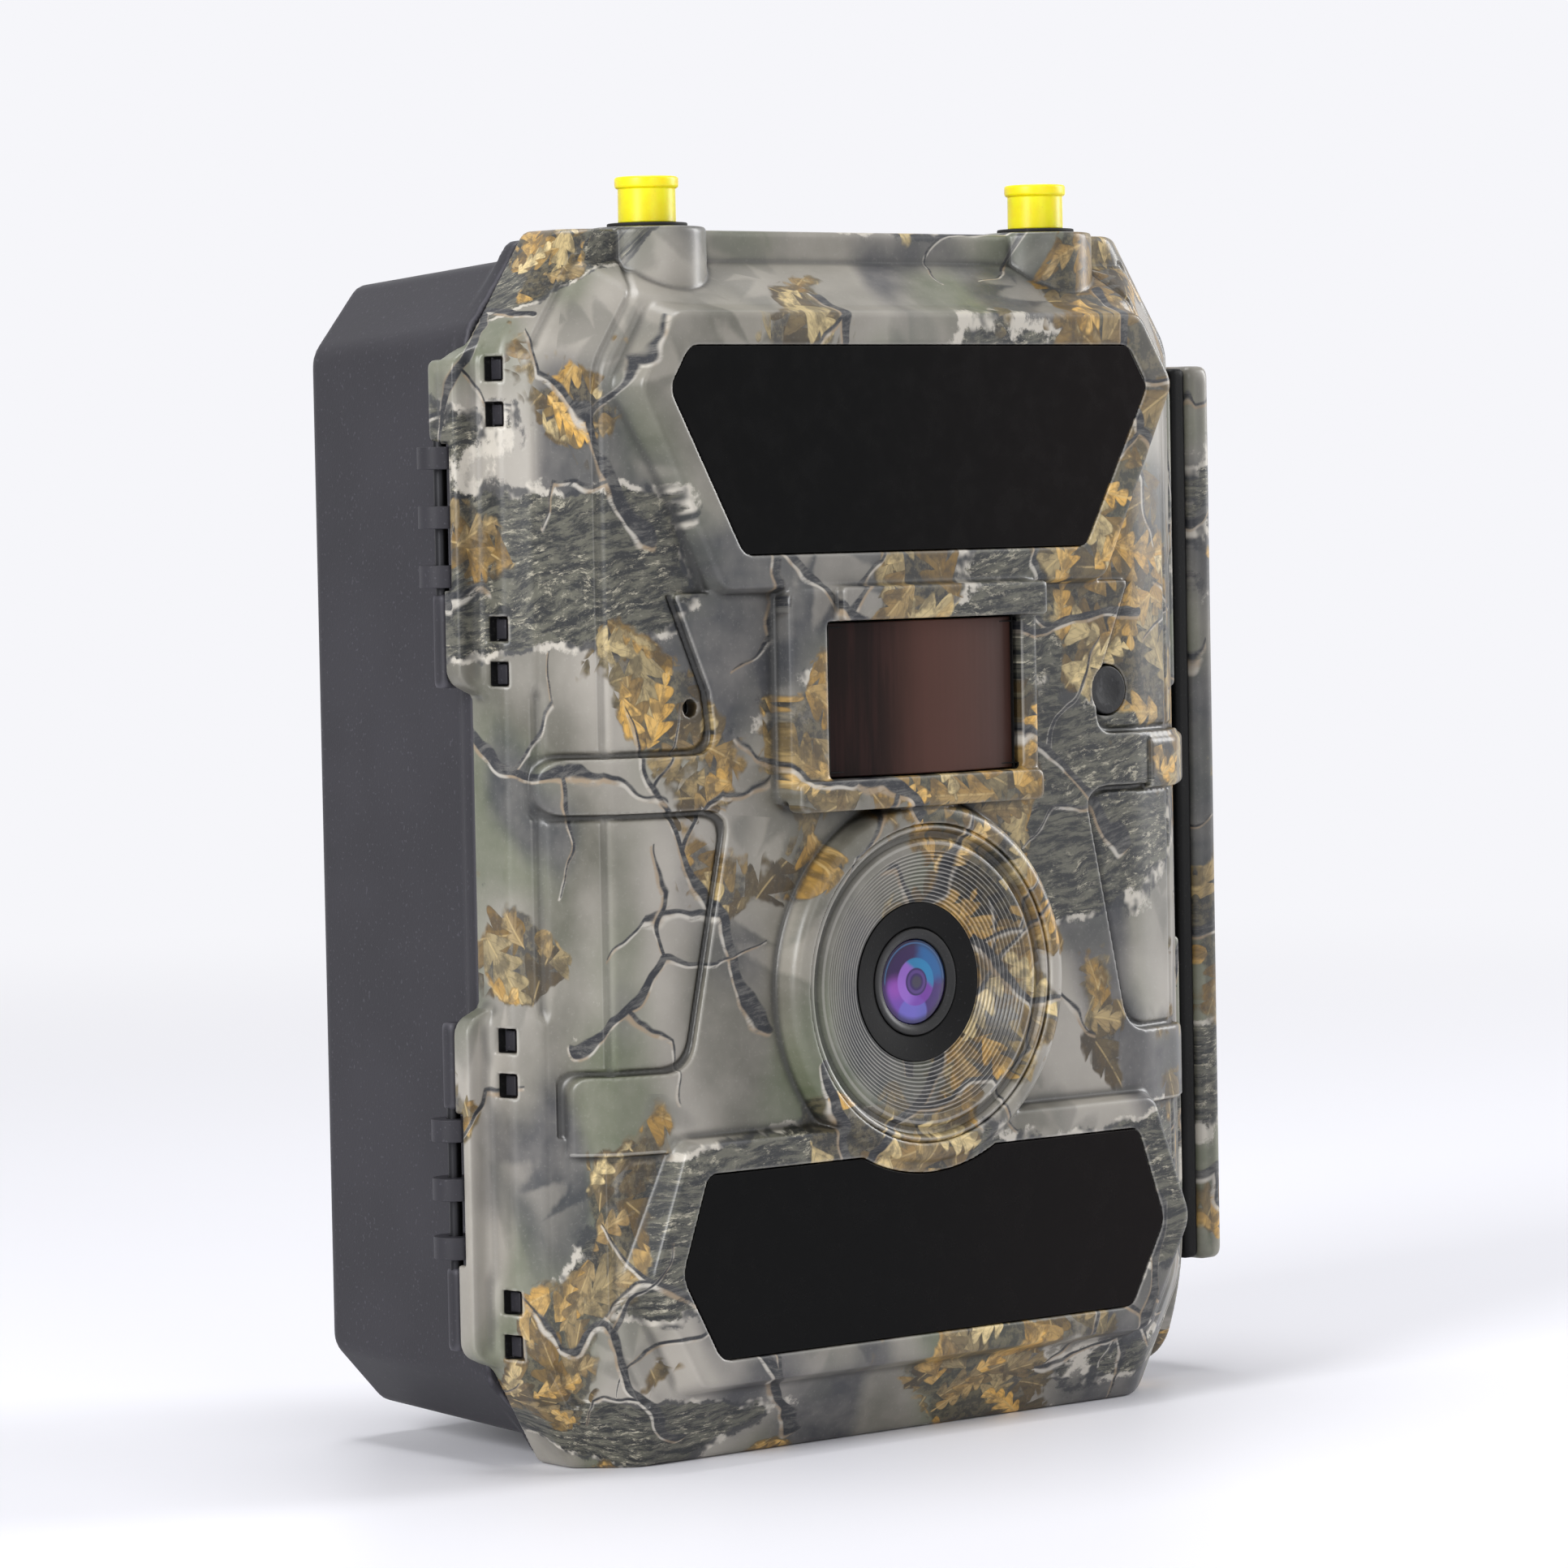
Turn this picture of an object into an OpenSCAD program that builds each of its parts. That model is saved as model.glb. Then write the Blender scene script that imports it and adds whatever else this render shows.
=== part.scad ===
// Wildlife camera: a two-part hinged weatherproof case that stands on its
// tripod boss. The front half holds the optics and electronics, the rear
// half holds the batteries. X runs across the front, the front faces -Y,
// +Z is up. The origin is the centre of the tripod socket's mouth.

/* [Case] */
// Height of the front shell
case_h = 146.5; // [145.5:0.1:147.5]
// Width across the front shell's main wall
case_w = 107.2; // [106.4:0.2:107.6]
// Wall thickness of both shells
wall = 2.2; // [1.8:0.1:2.4]
// Sideways reach of the hinge lugs from the centre
lug_x = 57.4; // [57.2:0.1:57.6]
// Sideways reach of the latch-side flange from the centre
flange_x = 58.2; // [57.6:0.1:58.3]

/* [Optics] */
// Radius of the rim around the lens
ring_r = 21.4; // [21:0.1:21.8]
// Height of the lens axis above the base
lens_z = 55.4; // [55:0.1:55.8]
// Number of fine steps that lead down to the lens
ring_steps = 12; // [8:1:14]
// Radius of the black disc around the lens
disc_r = 9.7; // [9.5:0.1:9.9]
// Radius of the front lens element
glass_r = 5.4; // [5:0.1:5.6]
// Half width of the motion sensor's opening
pir_hw = 15.6; // [14.5:0.1:16]

/* [Hinge and latch] */
// Radius of the hinge pins
pin_r = 0.8; // [0.7:0.05:0.9]
// Outer radius of the hinge knuckles
knuckle_r = 2.7; // [2.5:0.1:2.7]
// Length of the latch
latch_len = 115.8; // [112:0.2:117]

/* [Antenna sockets] */
// Distance of each antenna socket from the centre plane
socket_x = 31.2; // [30:0.1:32]
// Crest radius of the socket's thread
thread_r = 3.1; // [3:0.05:3.15]
// Outer radius of a dust cap's body
cap_r = 3.45; // [3.4:0.05:3.6]

/* [Power] */
// Diameter of one battery cell
cell_d = 14.3; // [14:0.1:14.5]
// Length of one battery cell
cell_len = 50.2; // [49.5:0.1:50.5]
// Radius of the tripod thread
tripod_r = 3.175; // [3.1:0.005:3.25]

/* [Hidden] */
$fn = 48;

gap = 0.3;             // clearance between the two halves
fit = 0.05;            // running clearance on a pin
side = case_w / 2;     // half width of the main wall
mid_z = case_h / 2;
face_y = -34.2;        // front face of the shell
bezel_y = -37.2;       // front face of the window bezels
bezel_back = -28.6;    // how far back the bezels reach
flange_y = -20.4;      // front face of the lugs and the latch flange
shell_back = -17.6;    // rear face of the front shell
rear_y = shell_back + gap;  // front face of the rear shell
band_y = -15;          // rear edge of the rear shell's front band
rear_top = 143.4;      // top of the rear shell at its front
rear_bot = 2.8;        // underside of the rear shell at its front
back_y = 16;           // back wall of the rear shell
top_corner = [33.3, 77.4];    // angle and distance of the upper corner facets
low_corner = [-29.1, 75.8];   // the same for the lower corners

hinge_x = -56.4;
hinge_y = -16.2;
hinge_zones = [[104.3, 121.5], [24.8, 42.7]];  // low and high end of each hinge
knuckle_h = 2.65;
knuckle_pitch = 6.95;
pin_over = 8.4;        // how far a pin runs past its hinge at each end
pad_back = -15.2;      // rear face of the pads that hold the pins
wrap_back = -15;       // rear face of the top lug where it wraps the rear shell

up_bezel = [[-37.2, 136.4], [37.2, 136.4], [42.6, 127.8], [30.5, 103.8],
            [-30.5, 103.8], [-42.6, 127.8]];
up_window = [[-35.1, 132.5], [35.1, 132.5], [38.2, 127.5], [27.4, 107.8],
             [-27.4, 107.8], [-38.2, 127.5]];
low_bezel = [[-37.5, 38.6], [37.5, 38.6], [43.4, 23.1], [36.2, 9.8],
             [-36.2, 9.8], [-43.4, 23.1]];
low_window = [[-34.7, 34.9], [34.7, 34.9], [38.9, 23.2], [33.2, 12.8],
              [-33.2, 12.8], [-38.9, 23.2]];
window_dip_r = 23.1;   // radius of the dip in the lower window under the lens
window_t = 1.4;
seat = 2.2;            // width of the ledge that a window rests on

pir_z = [80.7, 99.6];
pir_y = -38;
belt_z = [77.8, 84.3];
mic_pos = [-33.8, 89.9];
button_pos = [33.3, 89.7];
button_r = 3;
socket_y = -24.6;
boss_r = 7;
latch_x = 58.7;        // inner face of the latch
latch_out = 65.2;
latch_z = 14.5;
latch_pin_x = 61.7;
latch_pin_y = -6;
latch_r = 2.6;
ear_z = [30, 108];     // lower end of each latch ear
ear_h = 6;
board_y = -22.7;       // rear face of the main board
panel_y = -19.3;       // front face of the inner panel
panel_back = -17.7;    // rear face of the inner panel
cell_y = -5;
cell_pitch = 15.1;
cell_cols = 6;
cell_z = [21.5, 76.4]; // lower end of each row of cells
key_y = -17.9;         // rear face of the keys
switch_z = 66;         // underside of the power switch
socket_y0 = board_y + 0.1;  // front face of the card sockets
dc_pos = [8.4, 26];    // y and z of the power inlet
dc_r = 4.3;            // radius of the hole for the inlet

// Extrudes a drawing in X and Z from y0 back to y1.
module slab(y0, y1) translate([0, y1, 0]) rotate([90, 0, 0]) linear_extrude(height = y1 - y0) children();

// A round bar along Y.
module bar_y(r, y0, y1, x, z) translate([x, y1, z]) rotate([90, 0, 0]) cylinder(r = r, h = y1 - y0);

module rounded(r) offset(r = r, $fn = 32) offset(delta = -r) children();

// Eight-sided outline: half width, bottom, top, and the chamfers' run and rise.
module octagon(hw, bot, top, run, rise)
    polygon([[-hw + run, bot], [hw - run, bot], [hw, bot + rise], [hw, top - rise],
             [hw - run, top], [-hw + run, top], [-hw, top - rise], [-hw, bot + rise]]);

// Everything within distance d of the middle, in the direction given by angle:
// a wall, two facets and the flat face. Set in by t.
module facet_block(angle, d, t) translate([0, 0, mid_z]) rotate([0, -angle, 0])
    linear_extrude(height = 300, center = true) offset(delta = -t)
        polygon([[-90, shell_back + 2 * t], [-90, face_y], [d - 15.6, face_y], [d - 8.6, -32.5],
                 [d - 2.7, -27.3], [d + 0.2, -24.1], [d, shell_back + 2 * t]]);

// Profile of the top and bottom: a band under the top edge, and a lip at the base.
module end_block(t) rotate([90, 0, 90]) linear_extrude(height = 200, center = true) offset(delta = -t)
    polygon([[shell_back + 2 * t, 0], [-29.5, 0], [-33, 8.4], [face_y, 9.8], [face_y, 137.2],
             [-27, 142.7], [-27, case_h], [shell_back + 2 * t, case_h]]);

// Main body of the front shell, set in by t on every side.
module front_body(t) intersection() {
    end_block(t);
    for_both_sides(0, side, t);
    for_both_sides(top_corner[0], top_corner[1], t);
    for_both_sides(low_corner[0], low_corner[1], t);
}
module for_both_sides(angle, d, t) intersection() {
    facet_block(angle, d, t);
    mirror([1, 0, 0]) facet_block(angle, d, t);
}

// Outline of both case halves at the seam, set in by t.
module seam_outline(t) octagon(side - t, t, case_h - t, 8.8, 13.4);

// Outline of the hinge lugs on the left and the latch flange on the right.
module lug_outline(z0, z1) rounded(2)
    polygon([[-side + 4, z0 - 3.6], [-side, z0 - 1.6], [-lug_x, z0], [-lug_x, z1],
             [-side, z1 + 1.6], [-side + 4, z1 + 3.6]]);
module flange_outline() rounded(3)
    polygon([[side - 6, 1.4], [side + 1, 3.6], [flange_x, 13.4], [flange_x, 129.8],
             [side, 134.5], [side - 6, 139]]);

module bezel(pts) slab(bezel_y, bezel_back) rounded(1.2) polygon(pts);

module low_window_outline(grow) difference() {
    offset(delta = grow) rounded(1) polygon(low_window);
    translate([0, lens_z]) circle(r = window_dip_r - grow, $fn = 96);
}

// Space behind the flange for the knuckles and their webs.
module hinge_clearance() for (z = hinge_zones) {
    translate([hinge_x, hinge_y, z[0]]) cylinder(r = knuckle_r + gap, h = z[1] - z[0]);
    translate([hinge_x, flange_y + 1.1, z[0]]) cube([5.6, 3, z[1] - z[0]]);
}
module each_pin(r, over) for (z = hinge_zones)
    translate([hinge_x, hinge_y, z[0] - over]) cylinder(r = r, h = z[1] - z[0] + 2 * over);

// Turns a drawing round the lens axis: x is the radius, y runs forward.
module lens_turned() translate([0, 0, lens_z]) rotate([90, 0, 0]) rotate_extrude($fn = 96) children();

// Raised ring with fine steps that lead down to the lens disc.
step_r = 16;           // radius where the fine steps start
step_front = 37.1;     // how far forward the first step is
step_fall = 1.5;       // how far the steps go inwards altogether
module lens_ring() lens_turned() polygon(concat(
    [[ring_r + 1.4, 33], [ring_r + 0.2, 38.0], [ring_r - 0.2, 38.3],
     [ring_r - 1.2, 38.3], [ring_r - 1.6, 37.9], [ring_r - 2.4, 37.9], [ring_r - 2.8, 37.6]],
    [for (i = [0 : ring_steps]) for (k = [0, 1])
        [step_r - (step_r - disc_r) * i / ring_steps - k * 0.01,
         step_front - step_fall * (i + k) / (ring_steps + 1)]],
    [[disc_r, 33]]));

// Raised belt across each side of the front shell.
module belt() translate([0, 0, belt_z[0]]) linear_extrude(height = belt_z[1] - belt_z[0])
    polygon([[-51.8, -24], [-51.8, -27.2], [-45.3, -33], [-38.3, -34.8], [-29, -34.8], [-27, -33],
             [-40, -31], [-48, -24]]);

// Round bosses under the antenna sockets, cut back where the frame sits behind them.
module antenna_bosses() difference() {
    for (s = [-1, 1]) translate([s * socket_x, socket_y, 138.5]) cylinder(r = boss_r, h = 8.3);
    translate([-60, shell_back - 2.6, 130]) cube([120, 10, case_h - wall - 130]);
}

clip_z = [128.7, 123.4, 98.3, 93, 49.9, 44.6, 19, 13.7];   // lower edge of each snap tab's window
module front_shell() color([0.45, 0.45, 0.38]) difference() {
    union() {
        difference() {
            front_body(0);
            front_body(wall);
        }
        difference() {
            union() {
                slab(flange_y, shell_back) {
                    lug_outline(93.4, 131.6);
                    lug_outline(14, 53.6);
                    flange_outline();
                }
                // the top lug wraps round the rear shell's edge
                slab(flange_y, wrap_back) rounded(1) translate([-lug_x, 121.6]) square([3.2, 10]);
            }
            slab(flange_y - 1, shell_back + 1) seam_outline(wall);
        }
        bezel(up_bezel);
        bezel(low_bezel);
        slab(pir_y, -32) rounded(1.5) translate([-21.5, 77.8]) square([43, 27]);
        // hood over the motion sensor
        slab(-39.4, -36) rounded(1) translate([-17, 99.9]) square([34, 3.4]);
        lens_ring();
        belt();
        mirror([1, 0, 0]) belt();
        antenna_bosses();
        // collar that holds the test button
        bar_y(button_r + 1.4, face_y + 0.4, -31, button_pos[0], button_pos[1]);
    }
    // window pockets with a ledge behind them
    slab(bezel_y - 1, bezel_y + window_t + 0.1) offset(delta = 0.1) rounded(1) polygon(up_window);
    slab(-40, -28) offset(delta = -seat) polygon(up_window);
    slab(bezel_y - 1, bezel_y + window_t + 0.1) low_window_outline(0.1);
    slab(-40, -28) low_window_outline(-seat);
    // motion sensor opening
    slab(pir_y - 1, -30) translate([-pir_hw, pir_z[0]]) square([2 * pir_hw, pir_z[1] - pir_z[0]]);
    // bore for the lens
    bar_y(disc_r, -40, -28, 0, lens_z);
    bar_y(1.05, -36, -28, mic_pos[0], mic_pos[1]);
    bar_y(button_r + 0.15, -36, -28, button_pos[0], button_pos[1]);
    for (s = [-1, 1]) translate([s * socket_x, socket_y, 135]) cylinder(r = thread_r + 0.1, h = 14);
    for (s = [-1, 1]) translate([s * socket_x, socket_y, 135]) cylinder(r = boss_r - wall, h = 8.6);
    // windows for the frame's snap tabs
    for (z = clip_z) translate([-side - 1, -23.6, z]) cube([wall + 2, 2.2, 2.8]);
    hinge_clearance();
    each_pin(pin_r + fit, pin_over + gap);
}

// Dark frame inside the front shell's rear edge. It carries the seal in a groove.
frame_edge = wall + 0.1;   // how far inside the seam the frame starts
frame_w = 4.6;             // width of the frame
groove_w = 1.8;
groove_in = 1.2;           // how far inside the frame's edge the groove starts
groove_d = 1.3;
module front_frame() color([0.12, 0.12, 0.13]) difference() {
    union() {
        slab(shell_back - 2.4, shell_back) difference() {
            seam_outline(frame_edge);
            seam_outline(frame_edge + frame_w);
        }
        knuckles();
    }
    slab(shell_back - groove_d, shell_back + 1) seal_outline(0);
    each_pin(pin_r + fit, 0);
}

// Three knuckles on each pin, each on a web from the frame.
module knuckles() for (zone = hinge_zones) for (i = [-1 : 1])
    translate([hinge_x, hinge_y, (zone[0] + zone[1]) / 2 + i * knuckle_pitch - knuckle_h / 2]) {
        cylinder(r = knuckle_r, h = knuckle_h);
        translate([0, flange_y + 1.3 - hinge_y, 0]) cube([6, 1.3, knuckle_h]);
    }
module seal_outline(t) difference() {
    seam_outline(frame_edge + groove_in + t);
    seam_outline(frame_edge + groove_in + groove_w - t);
}
module case_gasket() color([0.08, 0.08, 0.08]) slab(shell_back - groove_d, shell_back) seal_outline(0.1);

// Snap tabs of the frame that show in the shell's square windows.
module frame_clips() color([0.1, 0.1, 0.11]) for (z = clip_z)
    translate([-side + 0.9, -23.4, z + 0.2]) cube([1.2, 1.8, 2.4]);

key_centres = [[30, 100], [30, 84], [22, 92], [38, 92], [30, 92], [30, 74]];
key_r = [2.3, 2.3, 2.3, 2.3, 2.6, 2.3];
panel_screw_pos = [[-42, 124], [42, 124], [-44, 68], [44, 68], [-42, 20], [42, 20]];

// Cuts a drawing right through the inner panel.
module panel_cut() slab(panel_y - 1, panel_back + 1) children();
module inner_panel() color([0.16, 0.16, 0.17]) difference() {
    slab(panel_y, panel_back) seam_outline(frame_edge + frame_w + 0.15);
    // display, keys, power slider, card slots and speaker slots
    panel_cut() translate([-32, 74]) square([45, 36]);
    for (i = [0 : 5]) panel_cut() translate(key_centres[i]) circle(r = key_r[i] + 0.3);
    panel_cut() translate([-10.4, switch_z + 0.5]) square([20.8, 5.4]);
    panel_cut() translate([17.7, 51]) square([27.6, 14]);
    panel_cut() translate([-43.5, 31.2]) square([34.7, 13]);
    for (i = [0 : 5]) panel_cut() translate([14 + 3 * i, 26]) square([1.4, 12]);
    for (p = panel_screw_pos) panel_cut() translate(p) circle(r = 1.3);
}

module panel_screws() color([0.6, 0.6, 0.62]) for (p = panel_screw_pos) difference() {
    union() {
        bar_y(2.3, panel_back, panel_back + 0.7, p[0], p[1]);
        bar_y(1.25, board_y - 1.4, panel_back, p[0], p[1]);
    }
    for (a = [0, 90]) translate([p[0], panel_back + 0.7, p[1]]) rotate([0, a, 0])
        cube([2.8, 0.7, 0.5], center = true);
}

module upper_window() color([0.06, 0.06, 0.06]) slab(bezel_y + 0.1, bezel_y + window_t)
    rounded(1) polygon(up_window);
module lower_window() color([0.06, 0.06, 0.06]) slab(bezel_y + 0.1, bezel_y + window_t) low_window_outline(0);

// Rows of infrared lamps: number in each row and the rows' heights.
up_rows = [[9, 126.5], [9, 120], [7, 113.5]];
low_rows = [[9, 26.6], [9, 19.6]];
led_pitch = 6.6;
module led_group(rows, y) for (r = rows) for (i = [0 : r[0] - 1]) {
    x = (i - (r[0] - 1) / 2) * led_pitch;
    bar_y(1.5, y, y + 2.6, x, r[1]);
    translate([x, y, r[1]]) sphere(r = 1.5, $fn = 24);
    bar_y(1.8, y + 2.6, y + 3.2, x, r[1]);
}
module upper_led_board() color([0.1, 0.3, 0.16]) slab(-30.5, -29)
    offset(delta = -seat - 0.3) polygon(up_window);
module upper_leds() color([0.75, 0.75, 0.8]) led_group(up_rows, -33.7);
module lower_led_board() color([0.1, 0.3, 0.16]) slab(-30.5, -29) low_window_outline(-seat - 0.3);
module lower_leds() color([0.75, 0.75, 0.8]) led_group(low_rows, -33.7);

// Motion sensor lens: an arc that bulges forward between its two feet.
pir_bulge = 1.6;
pir_lens_r = (pow(pir_hw - 0.3, 2) + pow(pir_bulge, 2)) / (2 * pir_bulge);
module pir_lens() color([0.24, 0.17, 0.16]) {
    translate([0, 0, pir_z[0] + 0.2]) linear_extrude(height = pir_z[1] - pir_z[0] - 0.4) intersection() {
        translate([0, -38.2 + pir_lens_r]) difference() {
            circle(r = pir_lens_r, $fn = 120);
            circle(r = pir_lens_r - 0.9, $fn = 120);
        }
        translate([-pir_hw + 0.3, -39]) square([2 * pir_hw - 0.6, 4.2]);
    }
    for (s = [-1, 1]) translate([s * (pir_hw - 1) - 0.7, -36.2, pir_z[0] + 0.2])
        cube([1.4, 5, pir_z[1] - pir_z[0] - 0.4]);
}
module pir_sensor() color([0.75, 0.74, 0.7]) {
    difference() {
        bar_y(4.6, -29.4, board_y - 2.5, 0, 90);
        translate([-2, -29.8, 88.5]) cube([4, 0.7, 3]);
    }
    bar_y(5.2, board_y - 2.5, board_y - 1.7, 0, 90);
}

trim_r = 6.5;          // outer radius of the lens's trim ring
glass_curve = 9;       // radius of the front lens element's curve
// Shallow black cone around the lens, in the ring's bore.
module lens_disc() color([0.05, 0.05, 0.05]) lens_turned()
    polygon([[trim_r + 0.1, 33.6], [trim_r + 0.1, 34.9],
             [disc_r - 0.05, 35.5], [disc_r - 0.05, 33.6]]);
module lens_trim_ring() color([0.2, 0.2, 0.2]) lens_turned()
    polygon([[glass_r + 0.1, 31], [glass_r + 0.1, 34.7], [glass_r + 0.5, 35.1],
             [trim_r, 35.1], [trim_r, 31]]);
module lens_glass() color([0.2, 0.15, 0.4]) translate([0, 0, lens_z]) rotate([90, 0, 0]) intersection() {
    translate([0, 0, 34.9 - glass_curve]) sphere(r = glass_curve, $fn = 96);
    translate([0, 0, 31]) cylinder(r = glass_r, h = 6, $fn = 96);
}
light_r = 4.4;         // radius of the light path through the lens
module lens_barrel() color([0.1, 0.1, 0.1]) difference() {
    union() {
        bar_y(trim_r, -30.9, -27, 0, lens_z);
        bar_y(5.8, -27, -24.6, 0, lens_z);
    }
    bar_y(light_r, -31, -24, 0, lens_z);
}
module lens_mount() color([0.14, 0.14, 0.15]) difference() {
    translate([-11, -24.5, lens_z - 9]) cube([22, 3.2, 18]);
    bar_y(light_r, -25, -21, 0, lens_z);
    // track of the infrared filter
    translate([-9.3, -23.8, lens_z - 4.3]) cube([18.6, 1.3, 8.6]);
}
module ir_cut_filter() color([0.7, 0.3, 0.35]) translate([-4, -23.55, lens_z - 4]) cube([8, 0.8, 8]);
module sensor_board() color([0.1, 0.3, 0.16]) {
    slab(-21.2, -20) translate([-11, lens_z - 9]) square([22, 18]);
    slab(-21.29, -21.2) translate([-3.2, lens_z - 2.4]) square([6.4, 4.8]);
}

module microphone() color([0.7, 0.7, 0.7]) difference() {
    bar_y(2.9, -31.6, -28, mic_pos[0], mic_pos[1]);
    bar_y(0.5, -32, -30.8, mic_pos[0], mic_pos[1]);
}
module front_button() color([0.22, 0.22, 0.22]) difference() {
    union() {
        bar_y(button_r, face_y - 0.1, -32, button_pos[0], button_pos[1]);
        bar_y(1.8, -32, board_y - 3.4, button_pos[0], button_pos[1]);
    }
    // finger dish
    translate([button_pos[0], face_y - 11.7, button_pos[1]]) sphere(r = 11.8, $fn = 64);
}

module main_board() color([0.08, 0.26, 0.14]) {
    difference() {
        slab(board_y - 1.6, board_y) translate([-44, 12]) square([88, 120]);
        slab(board_y - 3, board_y + 1) translate([-12.5, lens_z - 10.5]) square([25, 21]);
        for (p = panel_screw_pos) bar_y(1.6, board_y - 3, board_y + 1, p[0], p[1]);
    }
    // processor, memory, radio module and coil
    translate([-30, board_y - 2.8, 78]) cube([14, 1.2, 14]);
    translate([-30, board_y - 2.6, 96]) cube([9, 1, 12]);
    translate([14, board_y - 4.2, 104]) cube([24, 2.6, 24]);
    translate([-36, board_y - 4.6, 40]) cube([8, 3, 8]);
    // switch behind the test button, and tact switches under the keys
    bar_y(1.6, board_y - 2.6, board_y - 1.6, button_pos[0], button_pos[1]);
    for (k = key_centres) bar_y(1.5, board_y, board_y + 2.1, k[0], k[1]);
}

module display() color([0.1, 0.12, 0.16]) slab(board_y + 0.1, board_y + 2.6)
    translate([-31.4, 74.6]) square([43.8, 34.8]);
module display_cover() color([0.15, 0.18, 0.22]) slab(panel_y + 0.4, panel_back)
    translate([-31.9, 74.1]) square([44.8, 35.8]);

module key_body(i) {
    bar_y(key_r[i], key_y - 1, key_y, key_centres[i][0], key_centres[i][1]);
    bar_y(key_r[i] - 1, key_y - 1.8, key_y - 1, key_centres[i][0], key_centres[i][1]);
}
module key_up() color([0.3, 0.3, 0.32]) key_body(0);
module key_down() color([0.3, 0.3, 0.32]) key_body(1);
module key_left() color([0.3, 0.3, 0.32]) key_body(2);
module key_right() color([0.3, 0.3, 0.32]) key_body(3);
module key_ok() color([0.3, 0.3, 0.32]) key_body(4);
module key_menu() color([0.3, 0.3, 0.32]) key_body(5);

module power_switch() color([0.65, 0.65, 0.66]) difference() {
    translate([-9, board_y, switch_z]) cube([18, 2.6, 6.4]);
    translate([-7.2, board_y + 1, switch_z + 1.5]) cube([14.4, 3, 3.4]);
}
module power_slider() color([0.3, 0.3, 0.32]) {
    translate([-6.6, board_y + 1.3, switch_z + 1.8]) cube([4, 1.2, 2.8]);
    translate([-6.1, board_y + 2.5, switch_z + 1.8]) cube([3, 2.4, 2.8]);
}

module card_sockets() color([0.78, 0.78, 0.8]) {
    difference() {
        translate([16.2, socket_y0, 50]) cube([29, 3.2, 16]);
        translate([19.2, socket_y0 + 0.8, 51.4]) cube([40, 1.8, 13.2]);
    }
    difference() {
        translate([-38, socket_y0, 30]) cube([27, 3.2, 15.4]);
        translate([-60, socket_y0 + 0.8, 31.4]) cube([46, 1.8, 12.6]);
    }
}
module memory_card() color([0.1, 0.12, 0.3]) translate([20, socket_y0 + 1, 52]) cube([24, 1.4, 12]);
module sim_card() color([0.85, 0.85, 0.88]) translate([-36.6, socket_y0 + 1.1, 32]) cube([22.2, 0.9, 11.4]);
module speaker() color([0.2, 0.2, 0.2]) difference() {
    bar_y(7.4, board_y + 0.1, board_y + 2.8, 22, 32);
    bar_y(5.8, board_y + 2.2, board_y + 3, 22, 32);
}

module antenna_sockets() color([0.8, 0.66, 0.3]) for (s = [-1, 1]) translate([s * socket_x, socket_y, 0])
    difference() {
        union() {
            translate([0, 0, 138.6]) cylinder(r = thread_r, h = 13.2);
            translate([0, 0, 141]) cylinder(r = 4.6, h = 2.5, $fn = 6);
            translate([0, 0, 134.6]) cylinder(r = 1.6, h = 4);
        }
        translate([0, 0, 144]) cylinder(r = 2.1, h = 9);
    }
module socket_washers() color([0.08, 0.08, 0.08]) for (s = [-1, 1])
    translate([s * socket_x, socket_y, 146.8]) difference() {
        cylinder(r = 4.8, h = 0.5);
        translate([0, 0, -1]) cylinder(r = thread_r + 0.02, h = 3);
    }

// Push-on dust cap with a rolled rim at its top.
module dust_cap(s) color([1, 0.95, 0.05]) translate([s * socket_x, socket_y, 0]) difference() {
    union() {
        translate([0, 0, 147.35]) cylinder(r = cap_r, h = 4.4);
        translate([0, 0, 151.7]) cylinder(r = cap_r + 0.35, h = 1.2);
    }
    translate([0, 0, 147]) cylinder(r = thread_r + fit, h = 4.9);
}
module dust_cap_left() dust_cap(-1);
module dust_cap_right() dust_cap(1);

module hinge_pins() color([0.5, 0.5, 0.52]) each_pin(pin_r, pin_over);

// Main body of the rear shell, set in by t, tapering to the back.
module rear_layer(y, hw, bot, top, t) slab(y - 0.1, y) rounded(5) octagon(hw - t, bot + t, top - t, 9.2, 12);
module rear_body(t) hull() {
    rear_layer(rear_y + (t > 0 ? -1 : 0.1), side - 0.6, rear_bot, rear_top, t);
    rear_layer(back_y - 4.4 - t / 2, 51.9, 3.9, 141.6, t);
    rear_layer(back_y - 1.2 - t, 50.8, 4.9, 140.5, t);
    rear_layer(back_y - t, 48.6, 7, 138.4, t);
}

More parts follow.
